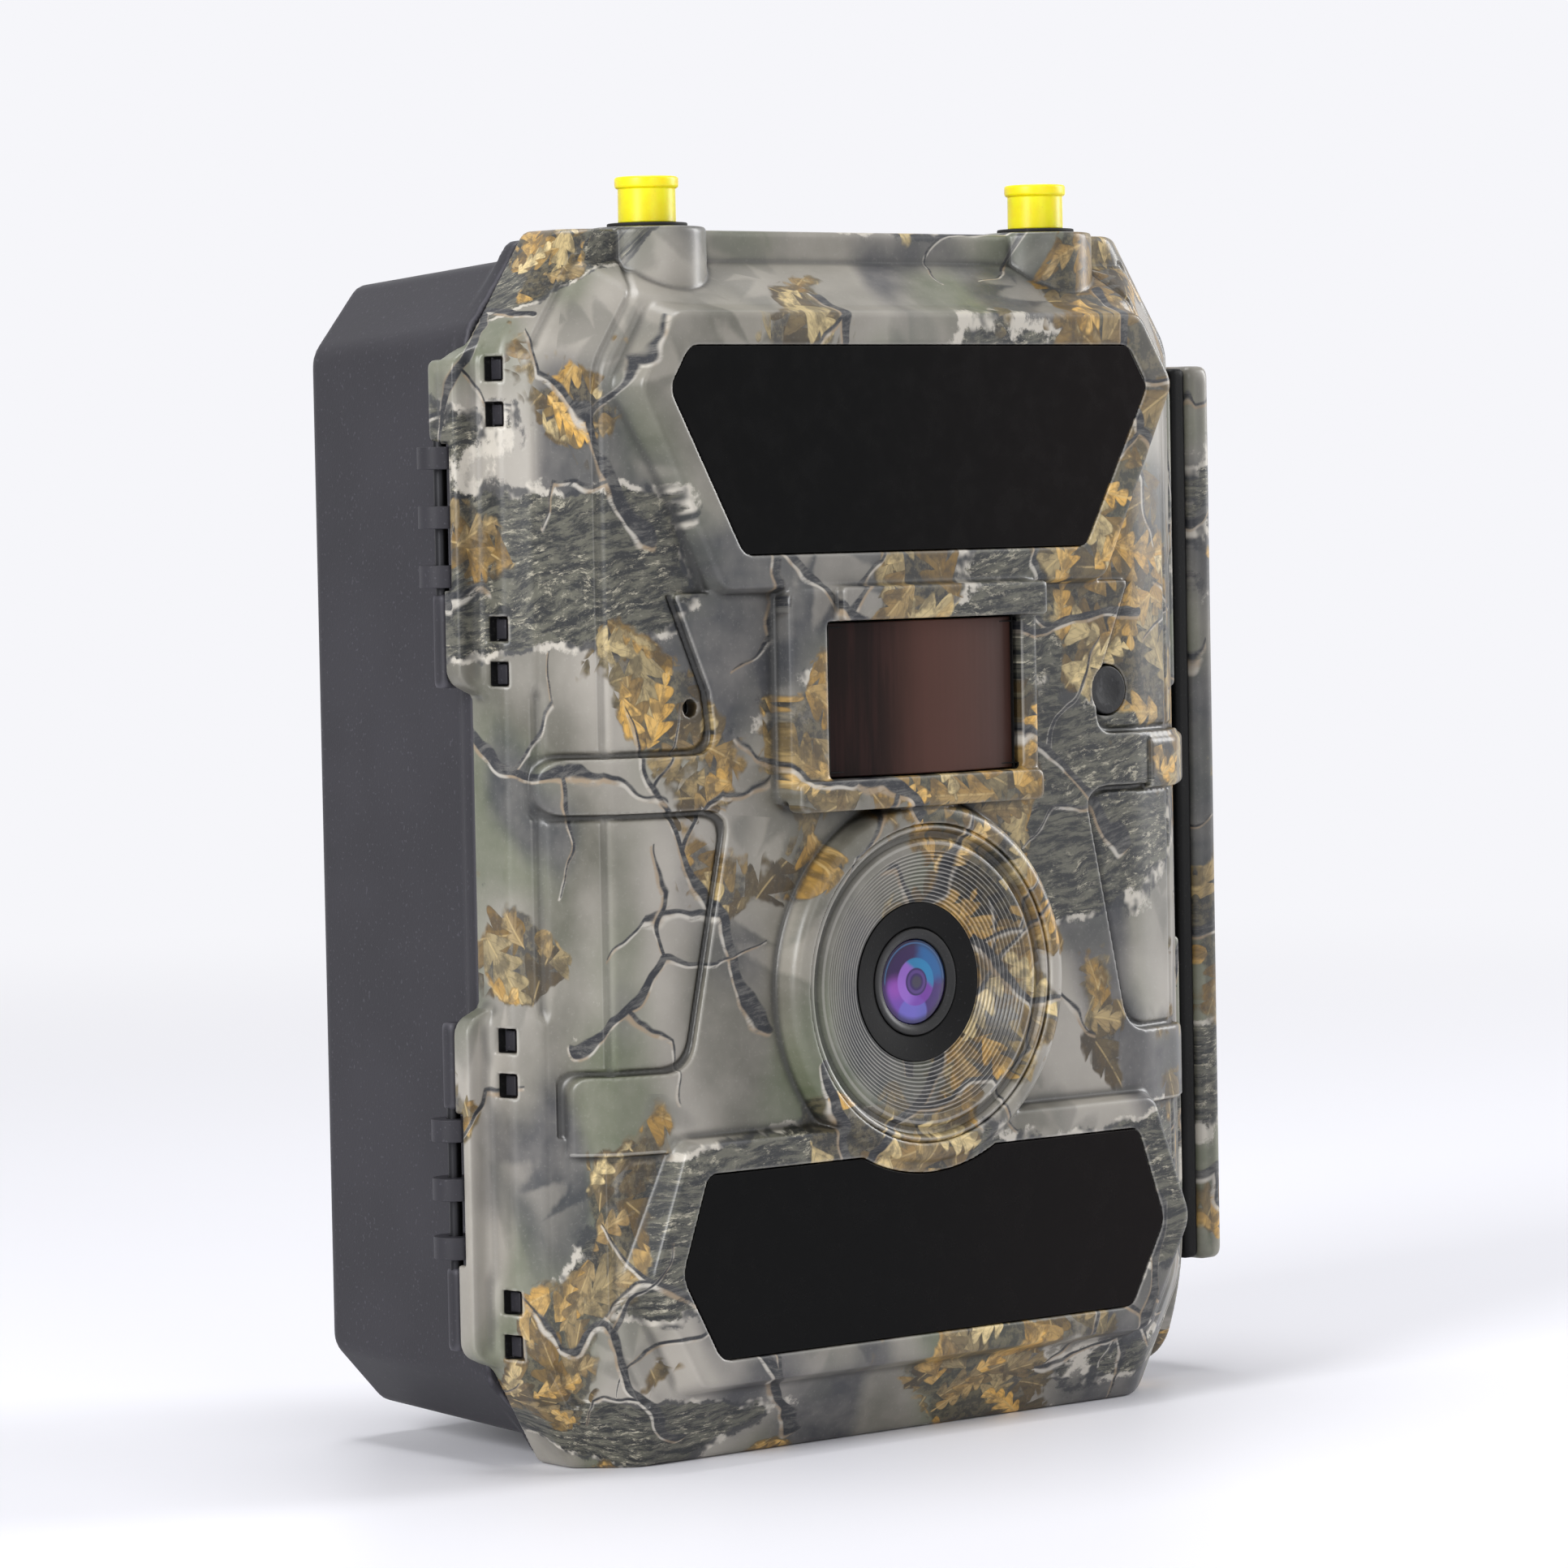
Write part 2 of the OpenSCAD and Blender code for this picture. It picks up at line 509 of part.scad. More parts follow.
pad_z = [[92.8, 104], [43, 53.4], [14.4, 24.4]];   // low and high end of each pad
tray_screw_pos = [[-41, 132.8], [41, 132.8], [-41, 13.4], [41, 13.4]];
bracket_screw_pos = [[-16, 114], [16, 114], [-16, 36], [16, 36]];
tripod_boss_r = 13;    // radius of the foot that the camera stands on
insert_r = 4.6;        // outer radius of the tripod insert
insert_len = 10;
module rear_shell() color([0.2, 0.2, 0.22]) difference() {
    union() {
        difference() {
            rear_body(0);
            rear_body(wall);
        }
        // pads behind the lugs and the latch flange
        difference() {
            union() {
                slab(rear_y, band_y) rounded(0.4) octagon(side - 0.3, 0.3, case_h - 1, 8.8, 13.2);
                slab(rear_y, pad_back) {
                    for (z = pad_z) rounded(1) translate([-lug_x + 0.5, z[0]]) square([8, z[1] - z[0]]);
                    rounded(3) translate([side - 6, 14]) square([flange_x - 0.4 - side + 6, 112]);
                }
            }
            slab(rear_y - 1, band_y + 1) seam_outline(4.6);
            each_pin(pin_r, pin_over);
        }
        latch_ears();
        // tripod boss and its inner tower
        cylinder(r = tripod_boss_r, h = rear_bot + wall + 0.2);
        translate([0, 0, 4]) cylinder(r = 7, h = 9);
        translate([side - 4.4, dc_pos[0], dc_pos[1]]) rotate([0, 90, 0]) cylinder(r = dc_r + 1.6, h = 3.2);
        for (p = tray_screw_pos) bar_y(3, 4.4, back_y - 1, p[0], p[1]);
    }
    translate([0, 0, -1]) cylinder(r = insert_r, h = insert_len + 2);
    translate([40, dc_pos[0], dc_pos[1]]) rotate([0, 90, 0]) cylinder(r = dc_r, h = 20);
    for (p = tray_screw_pos) bar_y(1.2, 3, 12, p[0], p[1]);
    for (p = bracket_screw_pos) bar_y(1.6, 10, 20, p[0], p[1]);
}

// Ears of the rear shell that carry the latch pin.
module latch_ears() for (z = ear_z) translate([0, 0, z]) difference() {
    union() {
        translate([latch_pin_x, latch_pin_y, 0]) cylinder(r = latch_r, h = ear_h);
        translate([51.6, latch_pin_y - latch_r + 0.4, 0])
            cube([latch_pin_x - 51.6, 2 * latch_r - 0.8, ear_h]);
    }
    translate([latch_pin_x, latch_pin_y, -1]) cylinder(r = 1, h = ear_h + 2);
}

module tripod_insert() color([0.78, 0.62, 0.3]) difference() {
    cylinder(r = insert_r, h = insert_len);
    translate([0, 0, -1]) cylinder(r = tripod_r, h = insert_len);
}

module battery_tray() color([0.13, 0.13, 0.14]) difference() {
    union() {
        translate([-47.6, cell_y - 8.2, 17.6]) cube([95.2, 17, 112]);
        // tabs for the screws
        for (p = tray_screw_pos) slab(2.6, 4.3) {
            translate(p) circle(r = 3);
            translate([p[0] - 3, p[1] > mid_z ? p[1] - 4 : p[1]]) square([6, 5]);
        }
    }
    for (p = tray_screw_pos) bar_y(1.4, 0, 6, p[0], p[1]);
    for (z = cell_z) for (i = [0 : cell_cols - 1]) translate([(i - 2.5) * cell_pitch, cell_y, z - 1.9]) {
        cylinder(r = cell_d / 2 + 0.2, h = cell_len + 3.6);
        translate([-6.4, -10, 0]) cube([12.8, 10, cell_len + 3.6]);
    }
    // pull-ribbon slots
    for (z = [44, 99]) translate([-46, cell_y + 7.4, z]) cube([92, 2, 6]);
}
module tray_screws() color([0.6, 0.6, 0.62]) for (p = tray_screw_pos) {
    bar_y(1.15, 2.6, 11.6, p[0], p[1]);
    bar_y(2.4, 1.4, 2.6, p[0], p[1]);
}

// Cells alternate end for end along each row.
module battery_cells() color([0.25, 0.4, 0.3]) for (z = cell_z) for (i = [0 : cell_cols - 1])
    translate([(i - 2.5) * cell_pitch, cell_y, z + cell_len / 2]) rotate([i % 2 == 0 ? 0 : 180, 0, 0])
        translate([0, 0, -cell_len / 2]) {
            cylinder(r = cell_d / 2, h = cell_len - 1);
            translate([0, 0, cell_len - 1]) cylinder(r = 2.7, h = 1);
        }
module battery_contacts() color([0.75, 0.75, 0.78]) for (z = cell_z) for (i = [0 : cell_cols - 1])
    translate([(i - 2.5) * cell_pitch, cell_y, z]) {
        for (e = [-1.7, cell_len + 1.4]) translate([-5, -4.5, e]) cube([10, 9, 0.3]);
        // dimple that meets the cell's positive end
        translate([0, 0, i % 2 == 0 ? cell_len : -1.5]) cylinder(r = 2, h = 1.5);
    }
// Each turn of a contact spring is drawn as a closed ring.
module battery_springs() color([0.8, 0.8, 0.82]) for (z = cell_z) for (i = [0 : cell_cols - 1])
    for (turn = [0, 1]) translate([(i - 2.5) * cell_pitch, cell_y,
        i % 2 == 0 ? z - 1.1 + turn * 0.75 : z + cell_len + 1.1 - turn * 0.75])
        rotate_extrude($fn = 32) translate([4 - turn, 0]) circle(r = 0.3, $fn = 16);

// Drawn along Z, then laid along X on the inlet's axis.
module on_dc_axis() translate([0, dc_pos[0], dc_pos[1]]) rotate([0, 90, 0]) children();
module dc_inlet() color([0.1, 0.1, 0.1]) on_dc_axis() difference() {
    translate([0, 0, 42.6]) cylinder(r = dc_r, h = 8.4);
    translate([0, 0, 45]) cylinder(r = 2.8, h = 8);
}
module dc_plug() color([0.12, 0.12, 0.12]) on_dc_axis() {
    translate([0, 0, 52.6]) cylinder(r = dc_r + 0.9, h = 1.2);
    translate([0, 0, 51.4]) cylinder(r = dc_r - 0.2, h = 1.2);
    translate([0, 0, 47]) cylinder(r = 2.7, h = 4.4);
}

// Tree bracket: two ribs with strap slots and a hole for a locking cable.
bracket_w = 66;
bracket_top = 124;
bracket_bot = 26;
bracket_rib = 12;
module strap_bracket() color([0.2, 0.2, 0.22]) difference() {
    union() {
        slab(back_y, back_y + 3.2) rounded(4) translate([-bracket_w / 2, bracket_bot])
            square([bracket_w, bracket_top - bracket_bot]);
        for (s = [-1, 1]) translate([s * 27 - 4, back_y + 1, bracket_bot + 4])
            cube([8, bracket_rib, bracket_top - bracket_bot - 8]);
    }
    // vee notches that bite the bark
    for (s = [-1, 1]) for (i = [0 : 6]) translate([s * 27, back_y + 1 + bracket_rib, 34 + i * 13])
        rotate([45, 0, 0]) cube([12, 3, 3], center = true);
    // strap slots and the cable hole
    for (z = [52, 94]) translate([-40, back_y + 3.2, z - 13.5]) cube([80, 5.4, 27]);
    translate([-40, back_y + 6.9, 73]) rotate([0, 90, 0]) cylinder(r = 3.6, h = 80);
    for (p = bracket_screw_pos) {
        bar_y(1.7, back_y - 1, back_y + 20, p[0], p[1]);
        bar_y(3.2, back_y + 2, back_y + 20, p[0], p[1]);
    }
}
module bracket_screws() color([0.6, 0.6, 0.62]) for (p = bracket_screw_pos) {
    bar_y(1.55, back_y - 4, back_y + 2, p[0], p[1]);
    bar_y(3, back_y + 2, back_y + 3.1, p[0], p[1]);
}

// Long side latch with a rounded section, in camouflage like the front.
module latch_section() rounded(1.6)
    polygon([[latch_x + 1.4, flange_y], [latch_out, flange_y], [latch_out, -7],
             [latch_out - 1.4, -4], [latch_x + 1.4, -3.6]]);
module latch_gaps() for (z = ear_z) translate([latch_x - 1, latch_pin_y - 4, z - gap])
    cube([latch_pin_x - latch_x + 1 + latch_r + gap, 8, ear_h + 2 * gap]);
module latch_lever() color([0.45, 0.45, 0.38]) difference() {
    translate([0, 0, latch_z]) linear_extrude(height = latch_len) latch_section();
    translate([latch_x, -18.6, latch_z + 2]) cube([4.6, 9.4, latch_len - 4]);
    latch_gaps();
    translate([latch_pin_x, latch_pin_y, latch_z + 1.8]) cylinder(r = 1 + fit, h = latch_len - 3.6);
}
module latch_liner() color([0.1, 0.1, 0.1]) {
    translate([latch_x + 0.2, -18.4, latch_z + 2.2]) cube([1.4, 9, latch_len - 4.4]);
    for (i = [0 : 4]) translate([latch_x + 1.5, -18.4, latch_z + 6 + i * 25]) cube([3, 9, 1.6]);
}
module latch_pin() color([0.6, 0.6, 0.62]) translate([latch_pin_x, latch_pin_y, latch_z + 2])
    cylinder(r = 1, h = latch_len - 4);

front_shell();
front_frame();
frame_clips();
case_gasket();
inner_panel();
panel_screws();
upper_window();
lower_window();
upper_led_board();
upper_leds();
lower_led_board();
lower_leds();
pir_lens();
pir_sensor();
lens_disc();
lens_trim_ring();
lens_glass();
lens_barrel();
lens_mount();
ir_cut_filter();
sensor_board();
microphone();
front_button();
main_board();
display();
display_cover();
key_up();
key_down();
key_left();
key_right();
key_ok();
key_menu();
power_switch();
power_slider();
card_sockets();
memory_card();
sim_card();
speaker();
antenna_sockets();
socket_washers();
dust_cap_left();
dust_cap_right();
hinge_pins();
rear_shell();
tripod_insert();
battery_tray();
tray_screws();
battery_cells();
battery_contacts();
battery_springs();
dc_inlet();
dc_plug();
strap_bracket();
bracket_screws();
latch_lever();
latch_liner();
latch_pin();
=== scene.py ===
"""Wildlife camera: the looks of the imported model, in the model's own frame."""
import math

import bmesh
import bpy
import numpy as np
import openvdb
from mathutils import Matrix, Vector

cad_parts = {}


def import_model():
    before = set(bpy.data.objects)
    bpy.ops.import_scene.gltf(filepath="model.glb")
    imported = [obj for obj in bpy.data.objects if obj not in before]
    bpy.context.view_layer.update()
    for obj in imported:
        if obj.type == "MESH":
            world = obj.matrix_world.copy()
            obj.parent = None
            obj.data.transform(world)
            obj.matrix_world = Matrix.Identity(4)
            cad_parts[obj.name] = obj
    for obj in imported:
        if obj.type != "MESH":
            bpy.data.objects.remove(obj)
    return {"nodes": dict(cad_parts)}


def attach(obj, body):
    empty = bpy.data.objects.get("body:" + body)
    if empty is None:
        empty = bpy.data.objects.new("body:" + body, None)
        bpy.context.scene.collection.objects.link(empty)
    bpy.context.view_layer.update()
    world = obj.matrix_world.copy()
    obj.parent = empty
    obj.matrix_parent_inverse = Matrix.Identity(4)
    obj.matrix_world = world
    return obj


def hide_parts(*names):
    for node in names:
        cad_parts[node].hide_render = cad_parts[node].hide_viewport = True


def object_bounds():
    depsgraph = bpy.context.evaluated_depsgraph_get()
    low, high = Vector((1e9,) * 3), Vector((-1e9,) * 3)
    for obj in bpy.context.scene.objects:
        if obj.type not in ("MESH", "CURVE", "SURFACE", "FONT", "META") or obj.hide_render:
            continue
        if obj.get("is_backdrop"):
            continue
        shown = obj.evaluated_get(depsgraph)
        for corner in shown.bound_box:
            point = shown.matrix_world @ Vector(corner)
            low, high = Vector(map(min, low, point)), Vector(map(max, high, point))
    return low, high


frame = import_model()
CAD_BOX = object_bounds()
NODES = frame["nodes"]
MM = 0.001

# ---------------------------------------------------------------- sizes, mm
WALL = 2.2
SIDE = 53.6            # half width of the front shell's main wall
CASE_H = 146.5
MID_Z = CASE_H / 2
FACE_Y = -34.2         # front face of the shell
BEZEL_Y = -37.2        # front of the window bezels
FLANGE_Y = -20.4       # front of the hinge lugs and the latch flange
SHELL_BACK = -17.6     # rear face of the front shell
LUG_X = 57.4
FLANGE_X = 58.2
LENS_Z = 55.4
RING_R = 21.4          # rim around the lens
INSERT_R = 19.3        # edge of the stepped disc inside the rim
DISC_R = 9.7           # bore in the middle of the steps
STEPS = 13
TOP_CORNER = (33.3, 77.4)     # angle and distance of the upper corner facets
LOW_CORNER = (-29.1, 75.8)
UP_BEZEL = [(-37.2, 136.4), (37.2, 136.4), (42.6, 127.8), (30.5, 103.8), (-30.5, 103.8), (-42.6, 127.8)]
UP_WINDOW = [(-35.1, 132.5), (35.1, 132.5), (38.2, 127.5), (27.4, 107.8), (-27.4, 107.8), (-38.2, 127.5)]
LOW_BEZEL = [(-37.5, 38.6), (37.5, 38.6), (43.4, 23.1), (36.2, 9.8), (-36.2, 9.8), (-43.4, 23.1)]
LOW_WINDOW = [(-34.7, 34.9), (34.7, 34.9), (38.9, 23.2), (33.2, 12.8), (-33.2, 12.8), (-38.9, 23.2)]
WINDOW_DIP_R = 23.1    # the lower window's top edge curves round the lens
WINDOW_T = 1.4
PIR_HALF = 15.6
PIR_Z = (80.7, 99.6)
PIR_Y = -38.0
BELT_Z = (77.8, 84.3)
COLUMN_Z = (47.2, 76.4, 84.3, 91.7, 103.2)         # half widths of the raised column at heights
COLUMN_HALF = (35.2, 28.8, 30.4, 31.4, 36.4)
MIC = (-33.8, 89.9)
BUTTON = (33.3, 89.7)
BUTTON_R = 3.0
SOCKET = (31.2, -24.6)        # x and y of the antenna sockets
BOSS_R = 7.0
CLIP_Z = (128.7, 123.4, 98.3, 93.0, 49.9, 44.6, 19.0, 13.7)
HINGE = (-56.4, -16.2)
HINGE_ZONES = ((104.3, 121.5), (24.8, 42.7))
KNUCKLE_R = 2.7


# ------------------------------------------------------- shapes as distances
def soft_min(a, b, k):
    """The smaller distance, with the corner between them filled to about k."""
    if k <= 0:
        return np.minimum(a, b)
    h = np.maximum(k - np.abs(a - b), 0) / k
    return np.minimum(a, b) - h * h * (k / 4)


def soft_max(a, b, k):
    return -soft_min(-a, -b, k)


def convex(points, k):
    """Distance from a convex outline given clockwise, its corners rounded by k."""
    def distance(x, z):
        d = None
        for (x0, z0), (x1, z1) in zip(points, points[1:] + points[:1]):
            ex, ez = x1 - x0, z1 - z0
            side = ((z - z0) * ex - (x - x0) * ez) / math.hypot(ex, ez)
            d = side if d is None else soft_max(d, side, k)
        return d
    return distance


def grown(outline, by):
    return lambda x, z: outline(x, z) - by


def slab(outline, y0, y1, k=0.0, draft=0.0):
    """An outline in X and Z, from y0 at the front to y1, wider at the back by draft."""
    def distance(x, y, z):
        return soft_max(outline(x, z) - draft * (y - y0), np.maximum(y0 - y, y - y1), k)
    return distance


def box(x0, x1, y0, y1, z0, z1, k=0.0):
    cx, cy, cz = (x0 + x1) / 2, (y0 + y1) / 2, (z0 + z1) / 2
    def distance(x, y, z):
        dx = np.abs(x - cx) - (x1 - x0) / 2
        dz = np.abs(z - cz) - (z1 - z0) / 2
        dy = np.abs(y - cy) - (y1 - y0) / 2
        return soft_max(soft_max(dx, dz, k), dy, k)
    return distance


def bar_y(r, y0, y1, cx, cz, k=0.0, draft=0.0):
    return slab(lambda x, z: np.hypot(x - cx, z - cz) - r, y0, y1, k, draft)


def bar_z(r, z0, z1, cx, cy, k=0.0):
    def distance(x, y, z):
        return soft_max(np.hypot(x - cx, y - cy) - r, np.maximum(z0 - z, z - z1), k)
    return distance


class Carving:
    """A solid held as distances on a grid, in millimetres, and meshed at the end."""

    def __init__(self, low, high, cell):
        self.cell = cell
        self.low = np.array(low, float) - 2.5 * cell
        counts = np.ceil((np.array(high) + 2.5 * cell - self.low) / cell).astype(int) + 1
        self.axes = [(self.low[i] + cell * np.arange(counts[i])).astype(np.float32) for i in range(3)]
        self.d = np.full(counts, 9.0, np.float32)

    def part(self, within):
        """The grid's slice inside (x0, x1, y0, y1, z0, z1), and its axes."""
        cut, axes = [], []
        for i in range(3):
            a = self.axes[i]
            lo, hi = (a[0], a[-1]) if within is None else within[2 * i:2 * i + 2]
            s = slice(max(int(np.searchsorted(a, lo)) - 1, 0), int(np.searchsorted(a, hi)) + 1)
            cut.append(s)
            shape = [1, 1, 1]
            shape[i] = -1
            axes.append(a[s].reshape(shape))
        return tuple(cut), axes

    def add(self, shape, k=0.0, within=None):
        cut, axes = self.part(within)
        self.d[cut] = soft_min(self.d[cut], shape(*axes), k)

    def cut(self, shape, k=0.0, within=None):
        cut, axes = self.part(within)
        self.d[cut] = soft_max(self.d[cut], -shape(*axes), k)

    def mesh(self, name):
        """A Blender object in metres."""
        far = 3 * self.cell
        grid = openvdb.FloatGrid(far)
        grid.copyFromArray(np.clip(self.d, -far, far))
        points, tris, quads = grid.convertToPolygons(isovalue=0.0, adaptivity=0.0)
        points = (points * self.cell + self.low) * MM
        mesh = bpy.data.meshes.new(name)
        mesh.from_pydata(points.tolist(), [], tris.tolist() + quads.tolist())
        mesh.update()
        mesh.shade_smooth()
        # two curvature measures kept on the mesh; the materials paint highlights on the edges and shade in the
        # hollows from them
        for layer, reach in (("edges", 1), ("hollows", 4)):
            shape = self.turn(points / MM, reach).astype(np.float32)
            mesh.attributes.new(layer, "FLOAT", "POINT").data.foreach_set("value", shape)
        piece = bpy.data.objects.new(name, mesh)
        bpy.context.scene.collection.objects.link(piece)
        return piece

    def turn(self, points, reach):
        """How the surface turns at some points: 0 if flat, up to 0.33 on an edge, below 0 in a corner.

        It is the mean distance over a small cube, divided by half the cube's side."""
        limit = 2.5 * reach * self.cell
        mean = np.clip(self.d, -limit, limit)
        for axis in range(3):
            total = mean.copy()
            for step in range(1, reach + 1):
                ahead, behind = [slice(None)] * 3, [slice(None)] * 3
                ahead[axis], behind[axis] = slice(step, None), slice(None, -step)
                total[tuple(behind)] += mean[tuple(ahead)]
                total[tuple(ahead)] += mean[tuple(behind)]
            mean = total / (2 * reach + 1)
        at = (points - self.low) / self.cell
        base = np.floor(at).astype(int)
        share = at - base
        value = np.zeros(len(at))
        for corner in range(8):
            pick = [(corner >> i) & 1 for i in range(3)]
            index = tuple(np.clip(base[:, i] + pick[i], 0, mean.shape[i] - 1) for i in range(3))
            weight = np.prod([share[:, i] if pick[i] else 1 - share[:, i] for i in range(3)], axis=0)
            value += mean[index] * weight
        return value / (reach * self.cell)


# ------------------------------------------------------------- front shell
def facets(w, y):
    """The wall, its three slanted facets and the face, from distance w past the wall line."""
    profile = [(0, SHELL_BACK), (0.2, -24.1), (-2.7, -27.3), (-8.6, -32.5), (-15.6, FACE_Y)]
    d = FACE_Y - y
    for (u0, y0), (u1, y1) in zip(profile, profile[1:]):
        n = math.hypot(u1 - u0, y1 - y0)
        d = soft_max(d, ((w - u0) * (y0 - y1) + (y - y0) * (u1 - u0)) / n, 0.45)
    return d


def wall_line(x, z):
    """How far a point lies outside the case's side walls and corner facets."""
    reach = np.abs(x) - SIDE
    for angle, d in (TOP_CORNER, LOW_CORNER):
        a = math.radians(angle)
        reach = soft_max(reach, np.abs(x) * math.cos(a) + (z - MID_Z) * math.sin(a) - d, 1.2)
    return reach


def ends(y, z):
    """The top and bottom profile: a band under the top edge, and a lip at the base."""
    slope = ((z - 137.2) * 7.2 - (y - FACE_Y) * 5.5) / math.hypot(7.2, 5.5)
    band = -27 - y
    top = soft_max(soft_min(slope, band, 0.25), z - CASE_H, 0.8)
    lip = ((-y - 29.5) * 8.4 - z * 3.5) / math.hypot(8.4, 3.5)
    return soft_max(soft_max(top, -z, 0.8), lip, 0.8)


def shell_body(x, y, z):
    return soft_max(facets(wall_line(x, z), y), ends(y, z), 0.9)


def raised_outline(x, z):
    """The belt and the broad column behind the lens stand proud of the four side panels."""
    a = np.abs(x)
    column = a - np.interp(z, COLUMN_Z, COLUMN_HALF)
    belt = soft_max(a - 51.8, np.abs(z - sum(BELT_Z) / 2) - (BELT_Z[1] - BELT_Z[0]) / 2, 3.0)
    foot = soft_max(z - 47.0, a - 49.3, 2.0)
    return soft_max(soft_min(soft_min(column, belt, 3.6), foot, 3.6), z - 103.4, 0.8)


def front_shell():
    c = Carving((-57.6, -39.6, -0.1), (58.4, -14.9, 147.0), 0.27)
    c.add(shell_body)
    # creases down each side, where the facets meet
    for line, low, high in ((8.4, -36, -26), (2.6, -29.5, -25)):
        def crease(x, y, z, line=line):
            return np.hypot(wall_line(x, z) + line, shell_body(x, y, z) - 0.12) - 0.5
        c.cut(crease, 0.3, within=(-53, 53, low, high, 8, 143))
    # the column and belt
    step = 0.8
    c.add(lambda x, y, z: soft_max(shell_body(x, y, z) - step, raised_outline(x, z), 0.3), 0.2,
          within=(-53, 53, -37, -23, 38, 106))
    c.cut(lambda x, y, z: np.hypot(raised_outline(x, z) - 0.45, shell_body(x, y, z)) - 0.42, 0.2,
          within=(-53, 53, -37, -26, 40, 103))
    # the right end of the belt stands out as a tab
    def tab(x, y, z):
        around = np.maximum(40 - x, y + 22.2)
        across = soft_max(shell_body(x, y, z) - 1.25, np.abs(z - 80.4) - 3.2, 0.8)
        return np.maximum(across, around)
    c.add(tab, 0.3, within=(38, 57, -37, -21, 75, 86))
    # window bezels
    for points in (UP_BEZEL, LOW_BEZEL):
        zs = [p[1] for p in points]
        c.add(slab(convex(points, 1.4), BEZEL_Y, -28.6, 0.55, 0.32), 0.5,
              within=(-47, 47, -38.5, -28, min(zs) - 4, max(zs) + 4))
    # housing round the motion sensor, with its hood and sill
    housing = convex([(-21.3, 103.8), (18.3, 103.8), (18.3, 78.2), (-21.3, 78.2)], 2.2)
    hood = convex([(-14, 103.7), (18.8, 103.7), (18.8, 99.6), (-14, 99.6)], 0.6)
    sill = convex([(-20.8, 80.7), (18.4, 80.7), (18.4, 76.9), (-20.8, 76.9)], 1.2)
    c.add(slab(housing, PIR_Y, -32, 0.8, 0.10), 0.7, within=(-25, 25, -39.5, -31, 75, 107))
    c.add(slab(hood, -39.4, -36, 0.4), 0.25, within=(-19, 20, -40, -35.5, 98, 105.5))
    c.add(slab(sill, -38.8, -36, 0.5), 0.25, within=(-23, 23, -40, -35.5, 75.5, 82))
    # rim round the lens
    c.add(bar_y(RING_R + 0.15, -38.3, -32, 0, LENS_Z, 1.3, 0.28), 0.4, within=(-26, 26, -39.5, -31, 29, 82))
    # hinge lugs, latch flange and the lug that wraps the rear shell
    for z0, z1 in ((93.4, 131.6), (14.0, 53.6)):
        lug = convex([(-44, z0 - 5.2), (-LUG_X, z0), (-LUG_X, z1), (-44, z1 + 5.2)], 1.8)
        c.add(slab(lug, FLANGE_Y, SHELL_BACK, 0.5), 0.8, within=(-58.2, -44, -22, -17, z0 - 6, z1 + 6))
        c.add(wedge(z0 - 0.6, z1 + 0.4), 1.2, within=(-56.4, -44, -29, -17, z0 - 4, z1 + 4))
    flange = convex([(47.6, 139), (SIDE, 134.5), (FLANGE_X, 129.8), (FLANGE_X, 13.4), (SIDE + 1, 3.6),
                     (47.6, 1.4)], 2.4)
    c.add(slab(flange, FLANGE_Y, SHELL_BACK, 0.5), 0.8, within=(46, 59, -22, -17, -1, 142))
    c.cut(box(57.2, 60, -24, -14, 57, 89, 0.6), 0.8, within=(56, 59, -22, -16, 55, 91))
    # bosses under the antenna sockets
    for s in (-1, 1):
        c.add(bar_z(BOSS_R, 138.2, 146.8, s * SOCKET[0], SOCKET[1], 0.7), 0.2,
              within=(s * SOCKET[0] - 10, s * SOCKET[0] + 10, -35, -14, 136, 147.4))
    c.cut(lambda x, y, z: 146.8 - z + 0 * x + 0 * y, within=(-60, 60, -40, -10, 146.5, 148))
    c.cut(lambda x, y, z: SHELL_BACK - y + 0 * x + 0 * z, within=(-60, 60, -18, -10, -1, 148))
    c.add(box(-LUG_X, -54.2, FLANGE_Y, -15.0, 121.6, 131.4, 1.0), 0.5,
          within=(-58.2, -53, -22, -14.6, 120, 133))
    hollow(c)
    openings(c)
    return c.mesh("front_shell_moulding")


def wedge(z0, z1):
    """Slanted wall in front of a lug, which holds the square windows."""
    xa, ya, xb, yb = -54.5, FLANGE_Y, -50.9, -27.3
    n = math.hypot(xb - xa, yb - ya)
    def distance(x, y, z):
        slant = ((x - xa) * (yb - ya) - (y - ya) * (xb - xa)) / n
        d = soft_max(slant, xa - x, 0.5)
        d = soft_max(d, np.maximum(yb - y, y - SHELL_BACK), 0.5)
        return soft_max(soft_max(d, x + 46, 0), np.maximum(z0 - z, z - z1), 1.4)
    return distance


def hollow(c):
    """The space inside the shell, open at the back."""
    def inside(x, y, z):
        top = soft_max(z - CASE_H, ((z - 137.2) * 7.2 - (y - FACE_Y) * 5.5) / math.hypot(7.2, 5.5), 0.5)
        low = soft_max(-z, ((-y - 29.5) * 8.4 - z * 3.5) / math.hypot(8.4, 3.5), 0.5)
        return np.maximum(np.maximum(facets(wall_line(x, z), y), top), low) + WALL
    c.cut(inside)


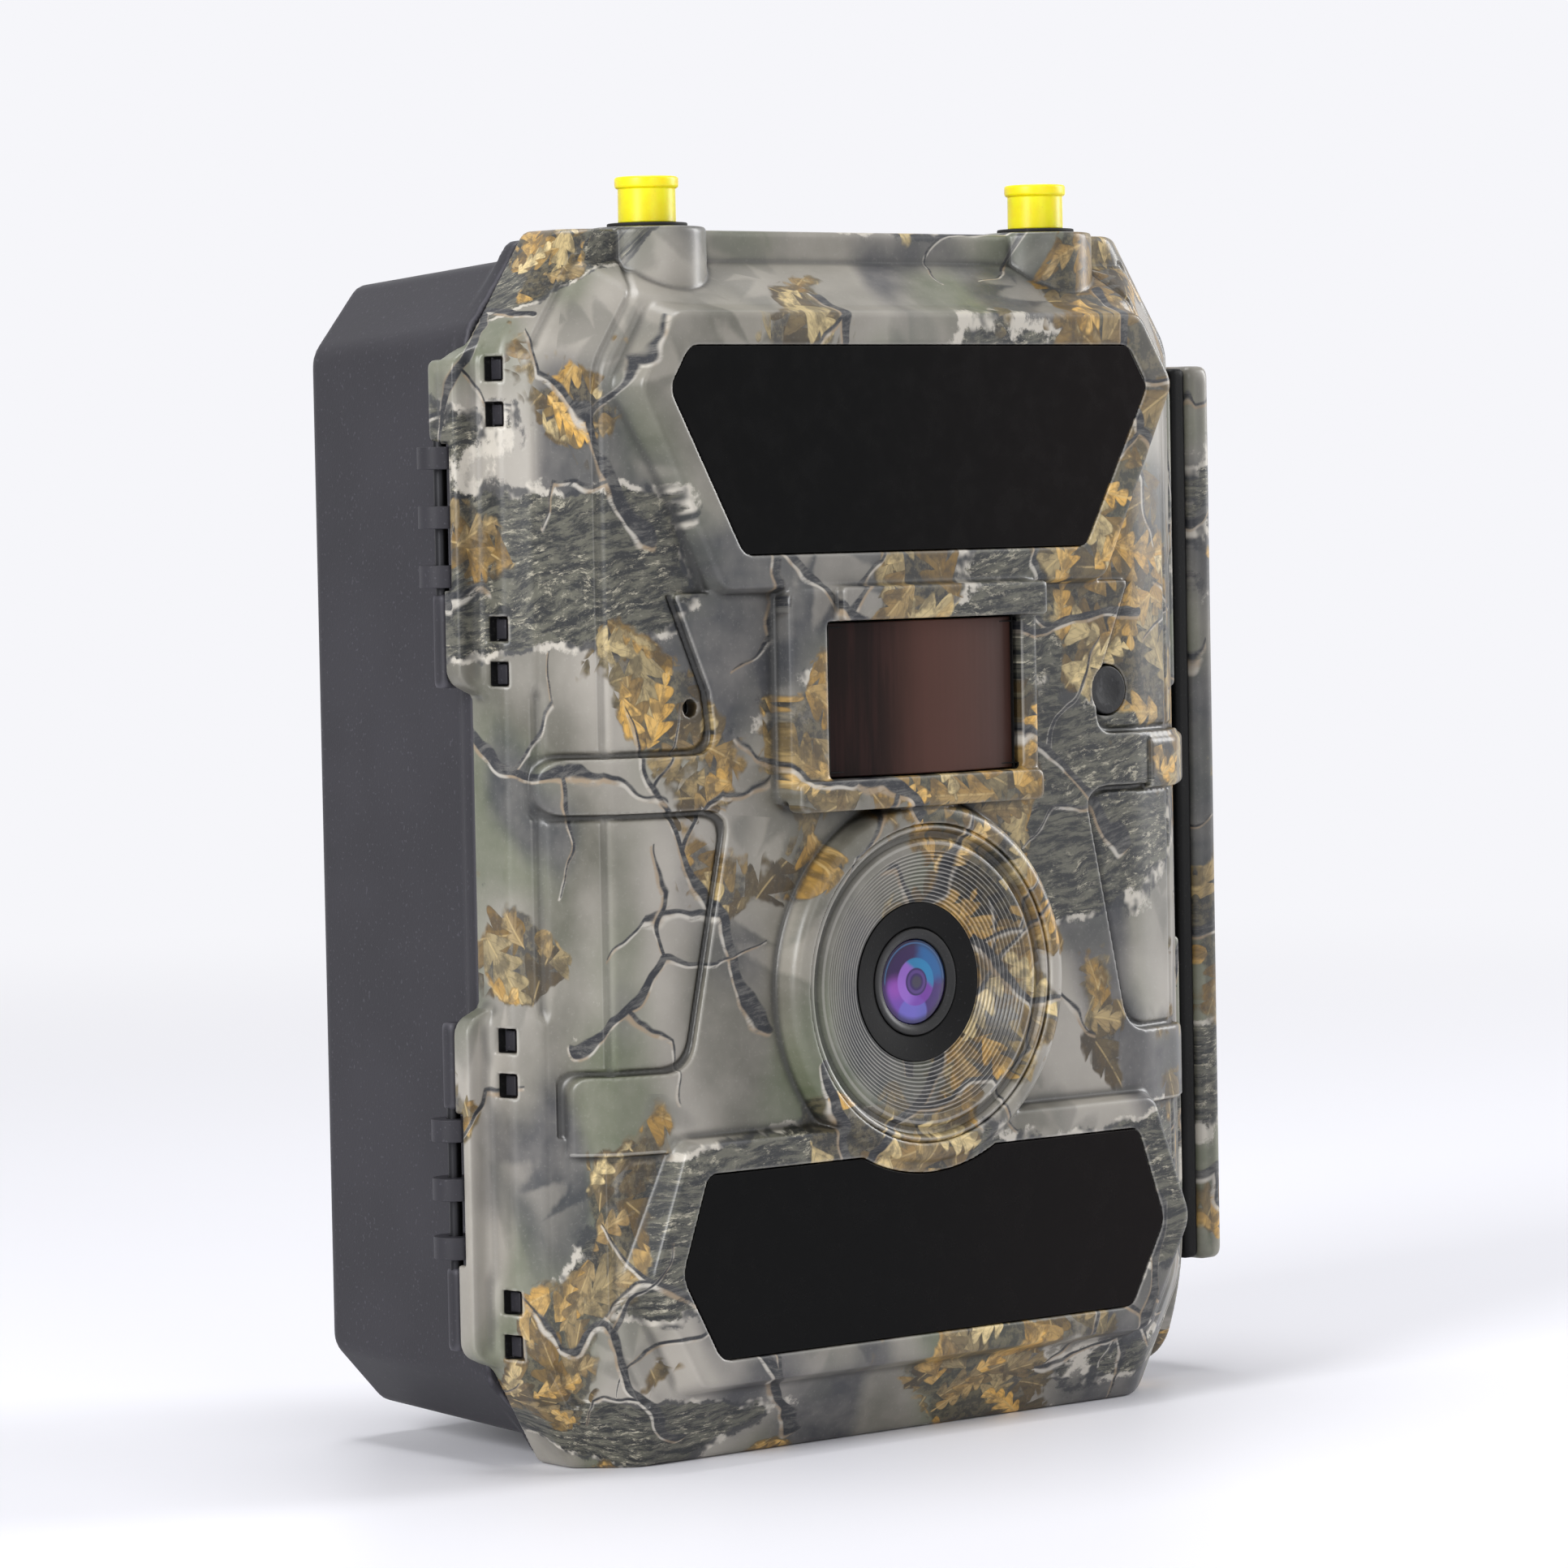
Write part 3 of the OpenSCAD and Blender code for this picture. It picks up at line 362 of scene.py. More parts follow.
def openings(c):
    """Pockets for the windows, bores, and everything else that is cut through."""
    up, low = convex(UP_WINDOW, 1.4), convex(LOW_WINDOW, 1.4)
    def dipped(x, z):
        return np.maximum(low(x, z), WINDOW_DIP_R - np.hypot(x, z - LENS_Z))
    for outline, z0, z1 in ((up, 106, 134), (dipped, 11, 37)):
        c.cut(slab(grown(outline, 0.1), -45, BEZEL_Y + WINDOW_T + 0.1), 0.15,
              within=(-41, 41, -40, -34, z0, z1))
        c.cut(slab(grown(outline, -2.2), -45, -25), 0, within=(-41, 41, -40, -26, z0, z1))
    c.cut(box(-PIR_HALF, PIR_HALF, -45, -25, PIR_Z[0], PIR_Z[1], 0.8), 0.2,
          within=(-18, 18, -40, -26, 78, 102))
    c.cut(bar_y(INSERT_R + 0.1, -45, -36.2, 0, LENS_Z), 0.3, within=(-21, 21, -40, -35, 34, 77))
    c.cut(bar_y(16.2, -45, -34.9, 0, LENS_Z), 0.2, within=(-18, 18, -40, -33, 37, 74))
    c.cut(bar_y(DISC_R, -45, -25, 0, LENS_Z), 0, within=(-11, 11, -40, -26, 44, 67))
    c.cut(bar_y(1.05, -45, -25, *MIC), 0.25, within=(-37, -30, -40, -26, 86, 94))
    c.add(bar_y(BUTTON_R + 1.4, FACE_Y + 0.4, -31, *BUTTON), 0, within=(28, 39, -36, -30, 84, 95))
    c.cut(bar_y(BUTTON_R + 0.22, -45, -25, *BUTTON), 0.3, within=(28, 39, -40, -26, 84, 95))
    for z in CLIP_Z:
        c.cut(box(-60, -SIDE + 1.2, -24.5, -21.6, z, z + 2.9, 0.1), 0.1,
              within=(-56, -49, -25, -20, z - 1, z + 4))
    for z0, z1 in HINGE_ZONES:
        c.cut(bar_z(KNUCKLE_R + 0.3, z0, z1, *HINGE), 0, within=(-60, -52, -20, -12, z0 - 1, z1 + 1))
        c.cut(box(HINGE[0], HINGE[0] + 5.6, FLANGE_Y + 1.1, -15, z0, z1), 0,
              within=(-58, -49, -20, -14, z0 - 1, z1 + 1))
    for s in (-1, 1):
        c.cut(bar_z(3.25, 130, 150, s * SOCKET[0], SOCKET[1]), 0,
              within=(s * SOCKET[0] - 5, s * SOCKET[0] + 5, -30, -20, 134, 148))
        c.cut(bar_z(BOSS_R - WALL, 134, 143.6, s * SOCKET[0], SOCKET[1]), 0,
              within=(s * SOCKET[0] - 6, s * SOCKET[0] + 6, -31, -18.5, 134, 145))


# -------------------------------------------------------------- rear shell
REAR_Y = -17.3
BACK_Y = 16.0
PADS = ((92.8, 104.0), (43.0, 53.4), (14.4, 24.4))
EARS = (30.0, 108.0)
LATCH_PIN = (61.7, -6.0)
DC_INLET = (8.4, 26.0)         # y and z of the power inlet


def rear_outline(x, y, z, inset=0.0):
    """Eight walls that lean in a little towards the back, and the back wall."""
    depth = y - REAR_Y
    half = 53.0 - 0.038 * depth - inset
    top = 143.4 - 0.062 * depth - inset
    low = 2.8 + 0.038 * depth + inset
    a = np.abs(x)
    d = soft_max(a - half, soft_max(z - top, low - z, 0), 1.0)
    for edge, run, rise in ((z - top, 7.0, 8.6), (low - z, 7.3, 7.8)):
        n = math.hypot(run, rise)
        d = soft_max(d, ((a - half) * rise + edge * run + run * rise) / n, 1.0)
    return soft_max(d, y - BACK_Y + inset, 1.3)


def rear_shell():
    c = Carving((-57.6, -17.5, -0.1), (64.6, 16.2, 146.4), 0.4)
    c.add(rear_outline)
    c.cut(lambda x, y, z: rear_outline(x, y, z, WALL))
    c.cut(lambda x, y, z: y - REAR_Y + 0 * x + 0 * z, within=(-58, 65, -19, -17, -1, 148))
    # front band
    def band(x, z):
        d = np.maximum(np.abs(x) - SIDE + 0.3, np.abs(z - MID_Z + 0.35) - MID_Z + 0.65)
        for sign in (1, -1):
            d = soft_max(d, (np.abs(x) * 13.2 + sign * (z - MID_Z) * 8.8) / math.hypot(13.2, 8.8)
                         - (44.5 * 13.2 + 73.1 * 8.8) / math.hypot(13.2, 8.8), 1.0)
        return d
    def band_ring(x, y, z):
        d = band(x, z)
        return soft_max(np.maximum(d, -4.3 - d), np.maximum(REAR_Y - y, y + 15.0), 0.5)
    c.add(band_ring, 0.4, within=(-54, 54, -18, -14, -1, 148))
    for z0, z1 in PADS:
        c.add(box(-LUG_X + 0.1, -48, REAR_Y, -15.1, z0, z1, 0.5), 0.3,
              within=(-58, -47, -18, -14, z0 - 1, z1 + 1))
    c.add(box(47.6, 57.8, REAR_Y, -15.2, 14, 126, 0.7), 0.4, within=(47, 59, -18, -14, 12, 128))
    for z in EARS:
        c.add(bar_z(2.6, z, z + 6, *LATCH_PIN, 0.5), 0, within=(58, 65, -9.5, -2.5, z - 1, z + 7))
        c.add(box(51.6, LATCH_PIN[0], -8.2, -3.8, z, z + 6, 0.3), 0.5,
              within=(50, 64, -9.5, -2.5, z - 1, z + 7))
    # foot round the tripod socket
    c.add(bar_z(13, 0.0, 5.2, 0, 0, 0.6), 0.6, within=(-15, 15, -15, 15, -1, 8))
    c.add(bar_z(7, 4, 13, 0, 0), 0.5, within=(-9, 9, -9, 9, 3, 14))
    c.cut(bar_z(4.6, -2, 11, 0, 0), 0, within=(-6, 6, -6, 6, -1, 12))
    for z0, z1 in HINGE_ZONES:
        c.cut(bar_z(KNUCKLE_R + 0.3, z0, z1, *HINGE), 0.3, within=(-60, -52, -20, -12.5, z0 - 1, z1 + 1))
    c.cut(lambda x, y, z: np.hypot(y - DC_INLET[0], z - DC_INLET[1]) - 4.35 + 0 * x, 0.3,
          within=(44, 56, 2, 15, 19, 33))
    return c.mesh("rear_shell_moulding")


# ----------------------------------------------------------- turned pieces
def skin(mesh, rings, closed=True):
    """Joins rings of vertices with faces, and the last ring to the first if closed."""
    for low, high in zip(rings, rings[1:] + (rings[:1] if closed else [])):
        for i in range(len(low)):
            j = (i + 1) % len(low)
            mesh.faces.new((low[i], low[j], high[j], high[i]))


def lathe(name, profile, centre, upright=False):
    """Turns (radius, height) points round an axis along Y, or along Z if upright, through centre."""
    segments, sharp = (96, 35) if upright else (192, 30)
    mesh = bmesh.new()
    rings = []
    for r, height in profile:
        ring = []
        for i in range(segments):
            a = math.tau * i / segments
            u, v = (centre[0] + r * math.cos(a)) * MM, (centre[1] + r * math.sin(a)) * MM
            ring.append(mesh.verts.new((u, v, height * MM) if upright else (u, height * MM, v)))
        rings.append(ring)
    skin(mesh, rings)
    return finished(name, mesh, sharp)


def finished(name, mesh, sharp_degrees):
    """A smooth-shaded object from a bmesh, with edges sharper than the angle kept sharp."""
    bmesh.ops.recalc_face_normals(mesh, faces=mesh.faces)
    data = bpy.data.meshes.new(name)
    mesh.to_mesh(data)
    mesh.free()
    piece = bpy.data.objects.new(name, data)
    bpy.context.scene.collection.objects.link(piece)
    data.shade_smooth()
    data.set_sharp_from_angle(angle=math.radians(sharp_degrees))
    return piece


def stepped_insert():
    """The disc inside the lens rim: a shallow groove, a plain band, then fine steps."""
    edge = [(INSERT_R + 0.05, -36.1), (INSERT_R + 0.05, -37.65), (19.15, -37.85), (18.9, -37.95), (18.65, -37.85),
            (18.35, -37.2), (18.0, -37.0), (17.6, -37.05), (17.2, -37.45), (16.9, -37.55), (16.2, -37.45)]
    steps = []
    start, fall = 16.0, 2.1
    width = (start - DISC_R - 0.05) / STEPS
    for i in range(STEPS):
        r, y = start - width * i, -37.4 + fall * i / STEPS
        tread = y + fall / STEPS
        steps += [(r, y), (r - 0.05, y - 0.05), (r - 0.15, y - 0.05), (r - 0.22, y + 0.06), (r - 0.28, tread)]
    return lathe("lens_step_disc", edge + steps + [(DISC_R + 0.05, -35.3), (DISC_R + 0.05, -35.0), (15.8, -35.0),
                                                   (16.1, -36.1)], (0, LENS_Z))


# --------------------------------------------------------------- materials
class Value:
    """A node's output or a plain number, with arithmetic that makes Math nodes."""

    def __init__(self, graph, source):
        self.graph, self.source = graph, source

    def op(self, kind, *others, flip=False):
        args = [self] + list(others)
        if flip:
            args.reverse()
        return self.graph.node("ShaderNodeMath", args, operation=kind)

    def __add__(self, o): return self.op("ADD", o)
    def __radd__(self, o): return self.op("ADD", o)
    def __sub__(self, o): return self.op("SUBTRACT", o)
    def __rsub__(self, o): return self.op("SUBTRACT", o, flip=True)
    def __mul__(self, o): return self.op("MULTIPLY", o)
    def __rmul__(self, o): return self.op("MULTIPLY", o)
    def __truediv__(self, o): return self.op("DIVIDE", o)
    def __abs__(self): return self.op("ABSOLUTE")
    def max(self, o): return self.op("MAXIMUM", o)
    def min(self, o): return self.op("MINIMUM", o)
    def sin(self): return self.op("SINE")
    def cos(self): return self.op("COSINE")
    def part(self): return self.op("FRACT")
    def root(self): return self.op("SQRT")


class Graph:
    """A material's node tree, written as expressions. Lengths are in millimetres."""

    def __init__(self, name):
        self.material = bpy.data.materials.new(name)
        self.material.use_nodes = True
        self.tree = self.material.node_tree
        self.tree.nodes.clear()
        coords = self.tree.nodes.new("ShaderNodeTexCoord")
        self.p = self.vector("SCALE", Value(self, coords.outputs["Object"]), 1000.0)
        self.x, self.y, self.z = self.split(self.p)

    def feed(self, socket, value):
        if isinstance(value, Value):
            self.tree.links.new(value.source, socket)
        elif isinstance(value, (tuple, list)):
            socket.default_value = tuple(value) + (1.0,) * (len(socket.default_value) - len(value))
        else:
            socket.default_value = value

    def node(self, kind, inputs=(), output=0, **settings):
        n = self.tree.nodes.new(kind)
        for key, value in settings.items():
            setattr(n, key, value)
        pairs = inputs.items() if isinstance(inputs, dict) else enumerate(inputs)
        for key, value in pairs:
            self.feed(n.inputs[key], value)
        return Value(self, n.outputs[output])

    def split(self, vector):
        n = self.tree.nodes.new("ShaderNodeSeparateXYZ")
        self.feed(n.inputs[0], vector)
        return [Value(self, o) for o in n.outputs]

    def join(self, x, y, z=0.0):
        return self.node("ShaderNodeCombineXYZ", [x, y, z])

    def vector(self, kind, a, b):
        key = 3 if kind == "SCALE" else 1
        return self.node("ShaderNodeVectorMath", {0: a, key: b}, operation=kind)

    def layer(self, name):
        """A value kept on the mesh; 0 where the mesh has none."""
        return self.node("ShaderNodeAttribute", output="Fac", attribute_name=name)

    def noise(self, p, size, detail=2.0, rough=0.5, flat=True):
        """Smooth noise from 0 to 1 whose blobs are about size across."""
        return self.node("ShaderNodeTexNoise", {"Vector": p, "Scale": 1.0 / size, "Detail": detail,
                         "Roughness": rough}, noise_dimensions="2D" if flat else "3D")

    def cells(self, p, size, random=1.0, output="Distance"):
        inputs = {"Vector": p, "Scale": 1.0 / size, "Randomness": random}
        return self.node("ShaderNodeTexVoronoi", inputs, output, voronoi_dimensions="2D", feature="F1")

    def ramp(self, value, low, high):
        """0 below low, 1 above high, and smooth between."""
        return self.node("ShaderNodeMapRange", {"Value": value, "From Min": low, "From Max": high},
                         interpolation_type="SMOOTHSTEP")

    def mix(self, share, a, b):
        """Colour a where share is 0 and b where it is 1."""
        return self.node("ShaderNodeMix", {0: share, 6: a, 7: b}, 2, data_type="RGBA")

    def bump(self, height, depth, strength):
        """height runs from 0 to 1 and depth is in millimetres."""
        return self.node("ShaderNodeBump", {"Strength": strength, "Distance": depth * MM, "Height": height})

    def shader(self, **sockets):
        names = {"color": "Base Color", "rough": "Roughness", "metal": "Metallic", "normal": "Normal",
                 "coat": "Coat Weight", "coat_rough": "Coat Roughness", "ior": "IOR",
                 "clear": "Transmission Weight", "soft": "Subsurface Weight", "reach": "Subsurface Scale",
                 "gloss": "Specular IOR Level"}
        surface = self.node("ShaderNodeBsdfPrincipled", {names[k]: v for k, v in sockets.items()})
        out = self.tree.nodes.new("ShaderNodeOutputMaterial")
        self.tree.links.new(surface.source, out.inputs["Surface"])
        return self.material


def srgb(r, g, b):
    """A colour written as it looks on a screen, 0 to 255."""
    def linear(v):
        v /= 255
        return v / 12.92 if v <= 0.04045 else ((v + 0.055) / 1.055) ** 2.4
    return (linear(r), linear(g), linear(b))


def speckled(name, colour, rough=0.5, grain=0.35, depth=0.02, vary=0.12, gloss=0.5):
    """Moulded plastic with fine spark-eroded grain, faint mottling, a few rubbed spots and a painted highlight on
    convex edges.
    """
    g = Graph(name)
    fine = g.noise(g.p, grain, 2.0, 0.6, flat=False)
    wide = g.noise(g.p, 14.0, 3.0, flat=False)
    light = tuple(min(c * (1 + vary) + 0.002, 1) for c in colour)
    dark = tuple(c * (1 - vary) for c in colour)
    mottled = g.mix(g.ramp(wide, 0.3, 0.7), dark, light)
    specks = g.ramp(g.noise(g.p, grain * 1.3, 0.0, flat=False), 0.70, 0.82)
    pale = tuple(min(c * 2.2 + 0.01, 1) for c in light)
    # painted highlight: convex edges turn pale, mixed into the same pale colour as the rubbed specks
    edge_highlight = g.ramp(g.layer("edges"), 0.08, 0.26)
    colour = g.mix((specks * 0.5).max(edge_highlight * 0.8), mottled, pale)
    return g.shader(color=colour, rough=g.ramp(wide, 0, 1) * 0.12 + (rough - 0.06),
                    normal=g.bump(fine, depth, 0.6), gloss=gloss)


def metal(name, colour, rough):
    """Turned or drawn metal with fine brushing."""
    g = Graph(name)
    lines = g.noise(g.p, 0.4, 3.0, 0.6, flat=False)
    wide = g.noise(g.p, 6.0, 3.0, flat=False)
    tone = g.mix(g.ramp(wide, 0.3, 0.75), tuple(c * 0.82 for c in colour), colour)
    return g.shader(color=tone, metal=1.0, rough=lines * 0.15 + (rough - 0.05),
                    normal=g.bump(lines, 0.01, 0.4))


def camouflage(name="woodland_camouflage", steps=False):
    """A generic woodland print under satin lacquer: blurred ground, bark, leaves and twigs, with painted shade in
    the hollows and painted highlights on the edges.

    It is laid out flat: the front's X and Z, run on round the sides, top and bottom."""
    g = Graph(name)
    side = g.ramp(g.x, 36.0, 50.0) - g.ramp(g.x * -1.0, 36.0, 50.0)
    cap = g.ramp(g.z, 132.0, 144.0) - g.ramp(g.z * -1.0, -12.0, -1.0)
    depth = g.y + 34.2
    flat = g.join(g.x + depth * side, g.z + depth * cap)
    s, t = g.split(flat)[:2]

    # out-of-focus ground, with blurred shapes of far leaves
    soft = g.noise(g.join(s + 31.0, t * 0.8 + 7.0), 30.0, 2.0, 0.45)
    green = g.noise(g.join(s * 0.9 - 12.0, t * 0.7 + 55.0), 24.0, 1.5, 0.4)
    slate = g.noise(g.join(s + 80.0, t * 0.6 - 31.0), 21.0, 1.5, 0.45)
    ground = g.mix(g.ramp(soft, 0.34, 0.66), srgb(96, 94, 84), srgb(160, 155, 146))
    ground = g.mix(g.ramp(green, 0.46, 0.64) * 0.85, ground, srgb(90, 97, 74))
    ground = g.mix(g.ramp(slate, 0.50, 0.64) * 0.9, ground, srgb(50, 52, 58))
    haze = g.noise(g.join(s + 5.0, t + 5.0), 8.0, 3.0, 0.6)
    ground = g.mix((haze - 0.5) * 0.5 + 0.08, ground, srgb(188, 182, 172))
    far, _ = leaf_layer(g, s - 90.0, t + 44.0, 24.0, 15.0, 6.0, 1.0, 2.6)
    ground = g.mix(far * 0.35, ground, g.mix(g.ramp(soft, 0.5, 0.4), srgb(78, 80, 74), srgb(176, 170, 158)))

    # bark: rough-edged bands of wavy dark rows with pale flecks
    lean = 0.16
    along, across = s * math.cos(lean) + t * math.sin(lean), t * math.cos(lean) - s * math.sin(lean)
    rough_edge = (g.noise(flat, 5.0, 6.0, 0.65) - 0.5) * 0.16
    where = g.noise(g.join(along * 0.35 + 40.0, across + 9.0), 23.0, 1.0, 0.4) + rough_edge
    where = where + g.ramp(s, -24.0, -40.0) * g.ramp(abs((t - 24.0) * (1.0 / 72.0) - 0.5), 0.40, 0.5) * 0.08
    where = where + g.ramp(s, 2.0, 16.0) * g.ramp(t, 127.0, 133.0) * 0.07
    where = where - g.ramp(s, 18.0, 26.0) * g.ramp(abs(t - 70.0), 30.0, 18.0) * 0.05
    where = where + g.ramp(s, -22.0, -28.0) * g.ramp(t, 130.0, 135.0) * 0.08 + g.ramp(t, 12.0, 5.0) * 0.04
    bark_mask = g.ramp(where, 0.575, 0.60)
    wave = across + g.noise(g.join(s, t * 1.5), 11.0, 2.0) * 3.5
    streak = g.noise(g.join(along * 0.20, wave), 1.1, 6.0, 0.75)
    bark = g.mix(g.ramp(streak, 0.40, 0.62), srgb(34, 36, 37), srgb(94, 93, 82))
    fleck = g.ramp(g.noise(g.join(along * 0.42 + 3.0, wave * 1.3), 1.0, 6.0, 0.8), 0.53, 0.66)
    bark = g.mix(fleck * 0.8 * g.ramp(haze, 0.36, 0.58), bark, srgb(184, 178, 158))
    colour = g.mix(bark_mask, ground, bark)
    rim = g.ramp(where, 0.552, 0.572) * g.ramp(where, 0.602, 0.585)
    colour = g.mix(rim * 0.85, colour, g.mix(g.ramp(haze, 0.45, 0.55), srgb(44, 46, 50), srgb(200, 194, 182)))

    # dead leaves in drifts, several layers deep, over their own dark gaps
    drift = g.noise(g.join(s - 20.0, t + 71.0), 29.0, 2.0, 0.5) + (g.noise(flat, 7.0, 3.0, 0.6) - 0.5) * 0.16
    drift = drift - g.ramp(s, -28.0, -42.0) * 0.07 + g.ramp(t, 14.0, 4.0) * 0.04
    gaps = g.mix(g.ramp(g.noise(flat, 1.6, 4.0, 0.7), 0.42, 0.62), srgb(40, 38, 34), srgb(92, 84, 64))
    colour = g.mix(g.ramp(drift, 0.535, 0.56) * 0.8, colour, gaps)
    for i, (cell, length, width, shade) in enumerate(
            [(12.0, 9.0, 3.2, 0.62), (12.5, 8.0, 2.9, 0.80), (11.0, 8.6, 2.4, 0.98), (9.0, 6.0, 1.8, 1.12)]):
        mask, leaf = leaf_layer(g, s + 37.0 * (i + 1), t - 53.0 * i, cell, length, width, shade)
        mask = mask * g.ramp(drift, 0.505 + 0.012 * i, 0.525 + 0.012 * i)
        colour = g.mix(mask, colour, leaf)

    # branches: dark bark with one pale edge
    for cell, motif, shift, scale in ((44.0, LONG_BRANCH, 0.0, 1.0), (36.0, FORKED_BRANCH, 61.0, 1.05)):
        dark, lit = branches(g, s + shift, t - shift * 0.7, cell, motif, scale)
        edge_tone = g.mix(g.ramp(haze, 0.42, 0.58), srgb(192, 187, 177), srgb(150, 132, 108))
        colour = g.mix(lit * g.ramp(streak, 0.28, 0.50) * 0.85, colour, edge_tone)
        bark_tone = g.mix(g.ramp(streak, 0.42, 0.66), srgb(32, 34, 39), srgb(90, 89, 86))
        colour = g.mix(dark, colour, bark_tone)

    # painted shade in the creases and hollows, a painted highlight on the convex edges, and painted shade inside
    # the snap windows
    # painted shade darkens concave creases and corners; a painted highlight lightens convex edges
    colour = g.mix(g.ramp(g.layer("hollows"), -0.015, -0.24) * 0.85, colour, srgb(22, 22, 20))
    colour = g.mix(g.ramp(g.layer("edges"), 0.10, 0.28) * 0.24, colour, srgb(222, 219, 212))
    into = ((g.x + 54.5) * 6.9 + (g.y + 20.4) * 3.6) * (1.0 / math.hypot(6.9, 3.6))
    nearest = None
    for z in CLIP_Z:
        away = abs(g.z - (z + 1.45))
        nearest = away if nearest is None else nearest.min(away)
    # painted shade inside the snap windows: near black at the back, brownish towards the front
    pocket_shade = g.ramp(into, 0.10, 0.25) * g.ramp(nearest, 1.62, 1.56) * g.ramp(g.x, -47.5, -48.0)
    pocket_shade = pocket_shade * g.ramp(abs(g.y + 23.05), 1.7, 1.6)
    colour = g.mix(pocket_shade, colour, g.mix(g.ramp(g.y, -22.9, -24.3), srgb(8, 8, 8), srgb(74, 63, 56)))
    if steps:
        # painted highlights and painted shade on each fine step, painted shade in the groove at r 18, and painted
        # highlights on the two lips
        r = ((g.x * g.x) + (g.z - LENS_Z) * (g.z - LENS_Z)).root()
        pitch = (16.0 - DISC_R) / STEPS
        turned = abs(((r - DISC_R) * (1.0 / pitch)).part() - 0.5)
        fine = g.ramp(r, 16.1, 15.9)
        colour = g.mix(g.ramp(turned, 0.30, 0.46) * fine * 0.5, colour, srgb(210, 207, 200))
        colour = g.mix(g.ramp(turned, 0.26, 0.08) * fine * 0.6, colour, srgb(26, 26, 28))
        colour = g.mix(g.ramp(abs(r - 18.0), 0.7, 0.3) * 0.55, colour, srgb(30, 30, 28))
        lip_highlights = g.ramp(abs(r - 18.95), 0.22, 0.08).max(g.ramp(abs(r - 16.95), 0.25, 0.10))
        colour = g.mix(lip_highlights * 0.25, colour, srgb(214, 211, 204))

    # lacquer, with fine grain and a little rubbing
    grain = g.noise(g.p, 0.4, 2.0, 0.6, flat=False)
    rub = g.noise(g.p, 11.0, 4.0, 0.6, flat=False)
    colour = g.mix(g.ramp(grain, 0.55, 0.8) * 0.08, colour, srgb(205, 202, 195))
    return g.shader(color=colour, rough=rub * 0.14 + 0.28, normal=g.bump(grain, 0.010, 0.5), gloss=0.5)


def leaf_layer(g, s, t, cell, length, width, shade, blur=0.3):
    """One lobed leaf in each cell, turned at random: its mask and its colour."""
    at = g.join(s, t)
    centre = g.cells(at, cell, random=0.85, output="Position")
    lx, ly = g.split(g.vector("SUBTRACT", at, centre))[:2]
    turn, tint, keep = g.split(g.cells(at, cell, random=0.85, output="Color"))
    angle = turn * math.tau
    along = lx * angle.cos() + ly * angle.sin()
    across = ly * angle.cos() - lx * angle.sin() + along * along * 0.05 * (tint - 0.5)
    out = abs(across)
    reach = 1.0 - (along / length) * (along / length)
    lobe = abs(((along - out * 0.8) * (1.05 * 8.0 / length) + tint * 5.0).sin())
    edge = reach * width * (lobe * 0.85 + 0.38 + (g.noise(at, 1.5, 3.0) - 0.5) * 0.35) - out
    mask = g.ramp(edge, 0.0, blur) * g.ramp(keep, 0.10, 0.12)
    light, deep, straw = [srgb(*(min(v * shade, 255) for v in tone)) for tone in
                          ((196, 154, 78), (120, 101, 68), (198, 178, 130))]
    tone = g.mix(g.ramp(tint, 0.2, 0.8), light, deep)
    tone = g.mix(g.ramp(keep, 0.7, 0.95), tone, straw)
    vein_field = along * 0.55 - out * 0.8 + (g.noise(at, 2.2, 1.0) - 0.5) * 0.8
    ribs = g.ramp(abs(vein_field.part() - 0.5), 0.12, 0.0) * g.ramp(edge, 0.1, 0.8)
    blotch = g.noise(at, 2.8, 4.0, 0.6)
    fibres = g.noise(g.join(along * 0.4 - out * 0.8, across * 1.6), 1.4, 2.0, 0.5)
    tone = g.mix(g.ramp(across, -0.5, 0.4) * 0.35, tone, g.mix(0.6, tone, straw))
    tone = g.mix(g.ramp(fibres, 0.60, 0.36) * 0.32, tone, srgb(66, 56, 42))
    tone = g.mix(g.ramp(blotch, 0.56, 0.36) * 0.6, tone, srgb(52, 48, 40))
    tone = g.mix(g.ramp(edge, 0.45, 0.0) * 0.6, tone, srgb(54, 48, 38))
    tone = g.mix(ribs * 0.28, tone, srgb(60, 50, 36))
    tone = g.mix(g.ramp(out, 0.20, 0.05) * g.ramp(blotch, 0.38, 0.6) * 0.4, tone, srgb(214, 188, 132))
    return mask, tone


# Each stretch of a branch: its start, its end, and its half width at each.
LONG_BRANCH = [(-21, -4, -9, -1.5, 1.1, 0.9), (-9, -1.5, 3, 1.2, 0.9, 0.7), (3, 1.2, 12, 0.2, 0.7, 0.45),
               (12, 0.2, 21, 3.4, 0.45, 0.15), (-9, -1.5, -3, 7.5, 0.6, 0.4), (-3, 7.5, -4.5, 14.5, 0.4, 0.12),
               (3, 1.2, 8.5, -7.5, 0.55, 0.35), (8.5, -7.5, 8, -14, 0.35, 0.12), (12, 0.2, 17, -5.5, 0.3, 0.1)]
FORKED_BRANCH = [(-3, -17, -1.2, -6, 1.3, 1.0), (-1.2, -6, 0.5, 2, 1.0, 0.75), (0.5, 2, 6.5, 9, 0.7, 0.4),
                 (6.5, 9, 8.5, 17, 0.4, 0.12), (0.5, 2, -5.5, 7.5, 0.55, 0.35), (-5.5, 7.5, -13, 10, 0.35, 0.12),
                 (-1.2, -6, 7, -4.2, 0.4, 0.25), (7, -4.2, 13, -7.5, 0.25, 0.1)]


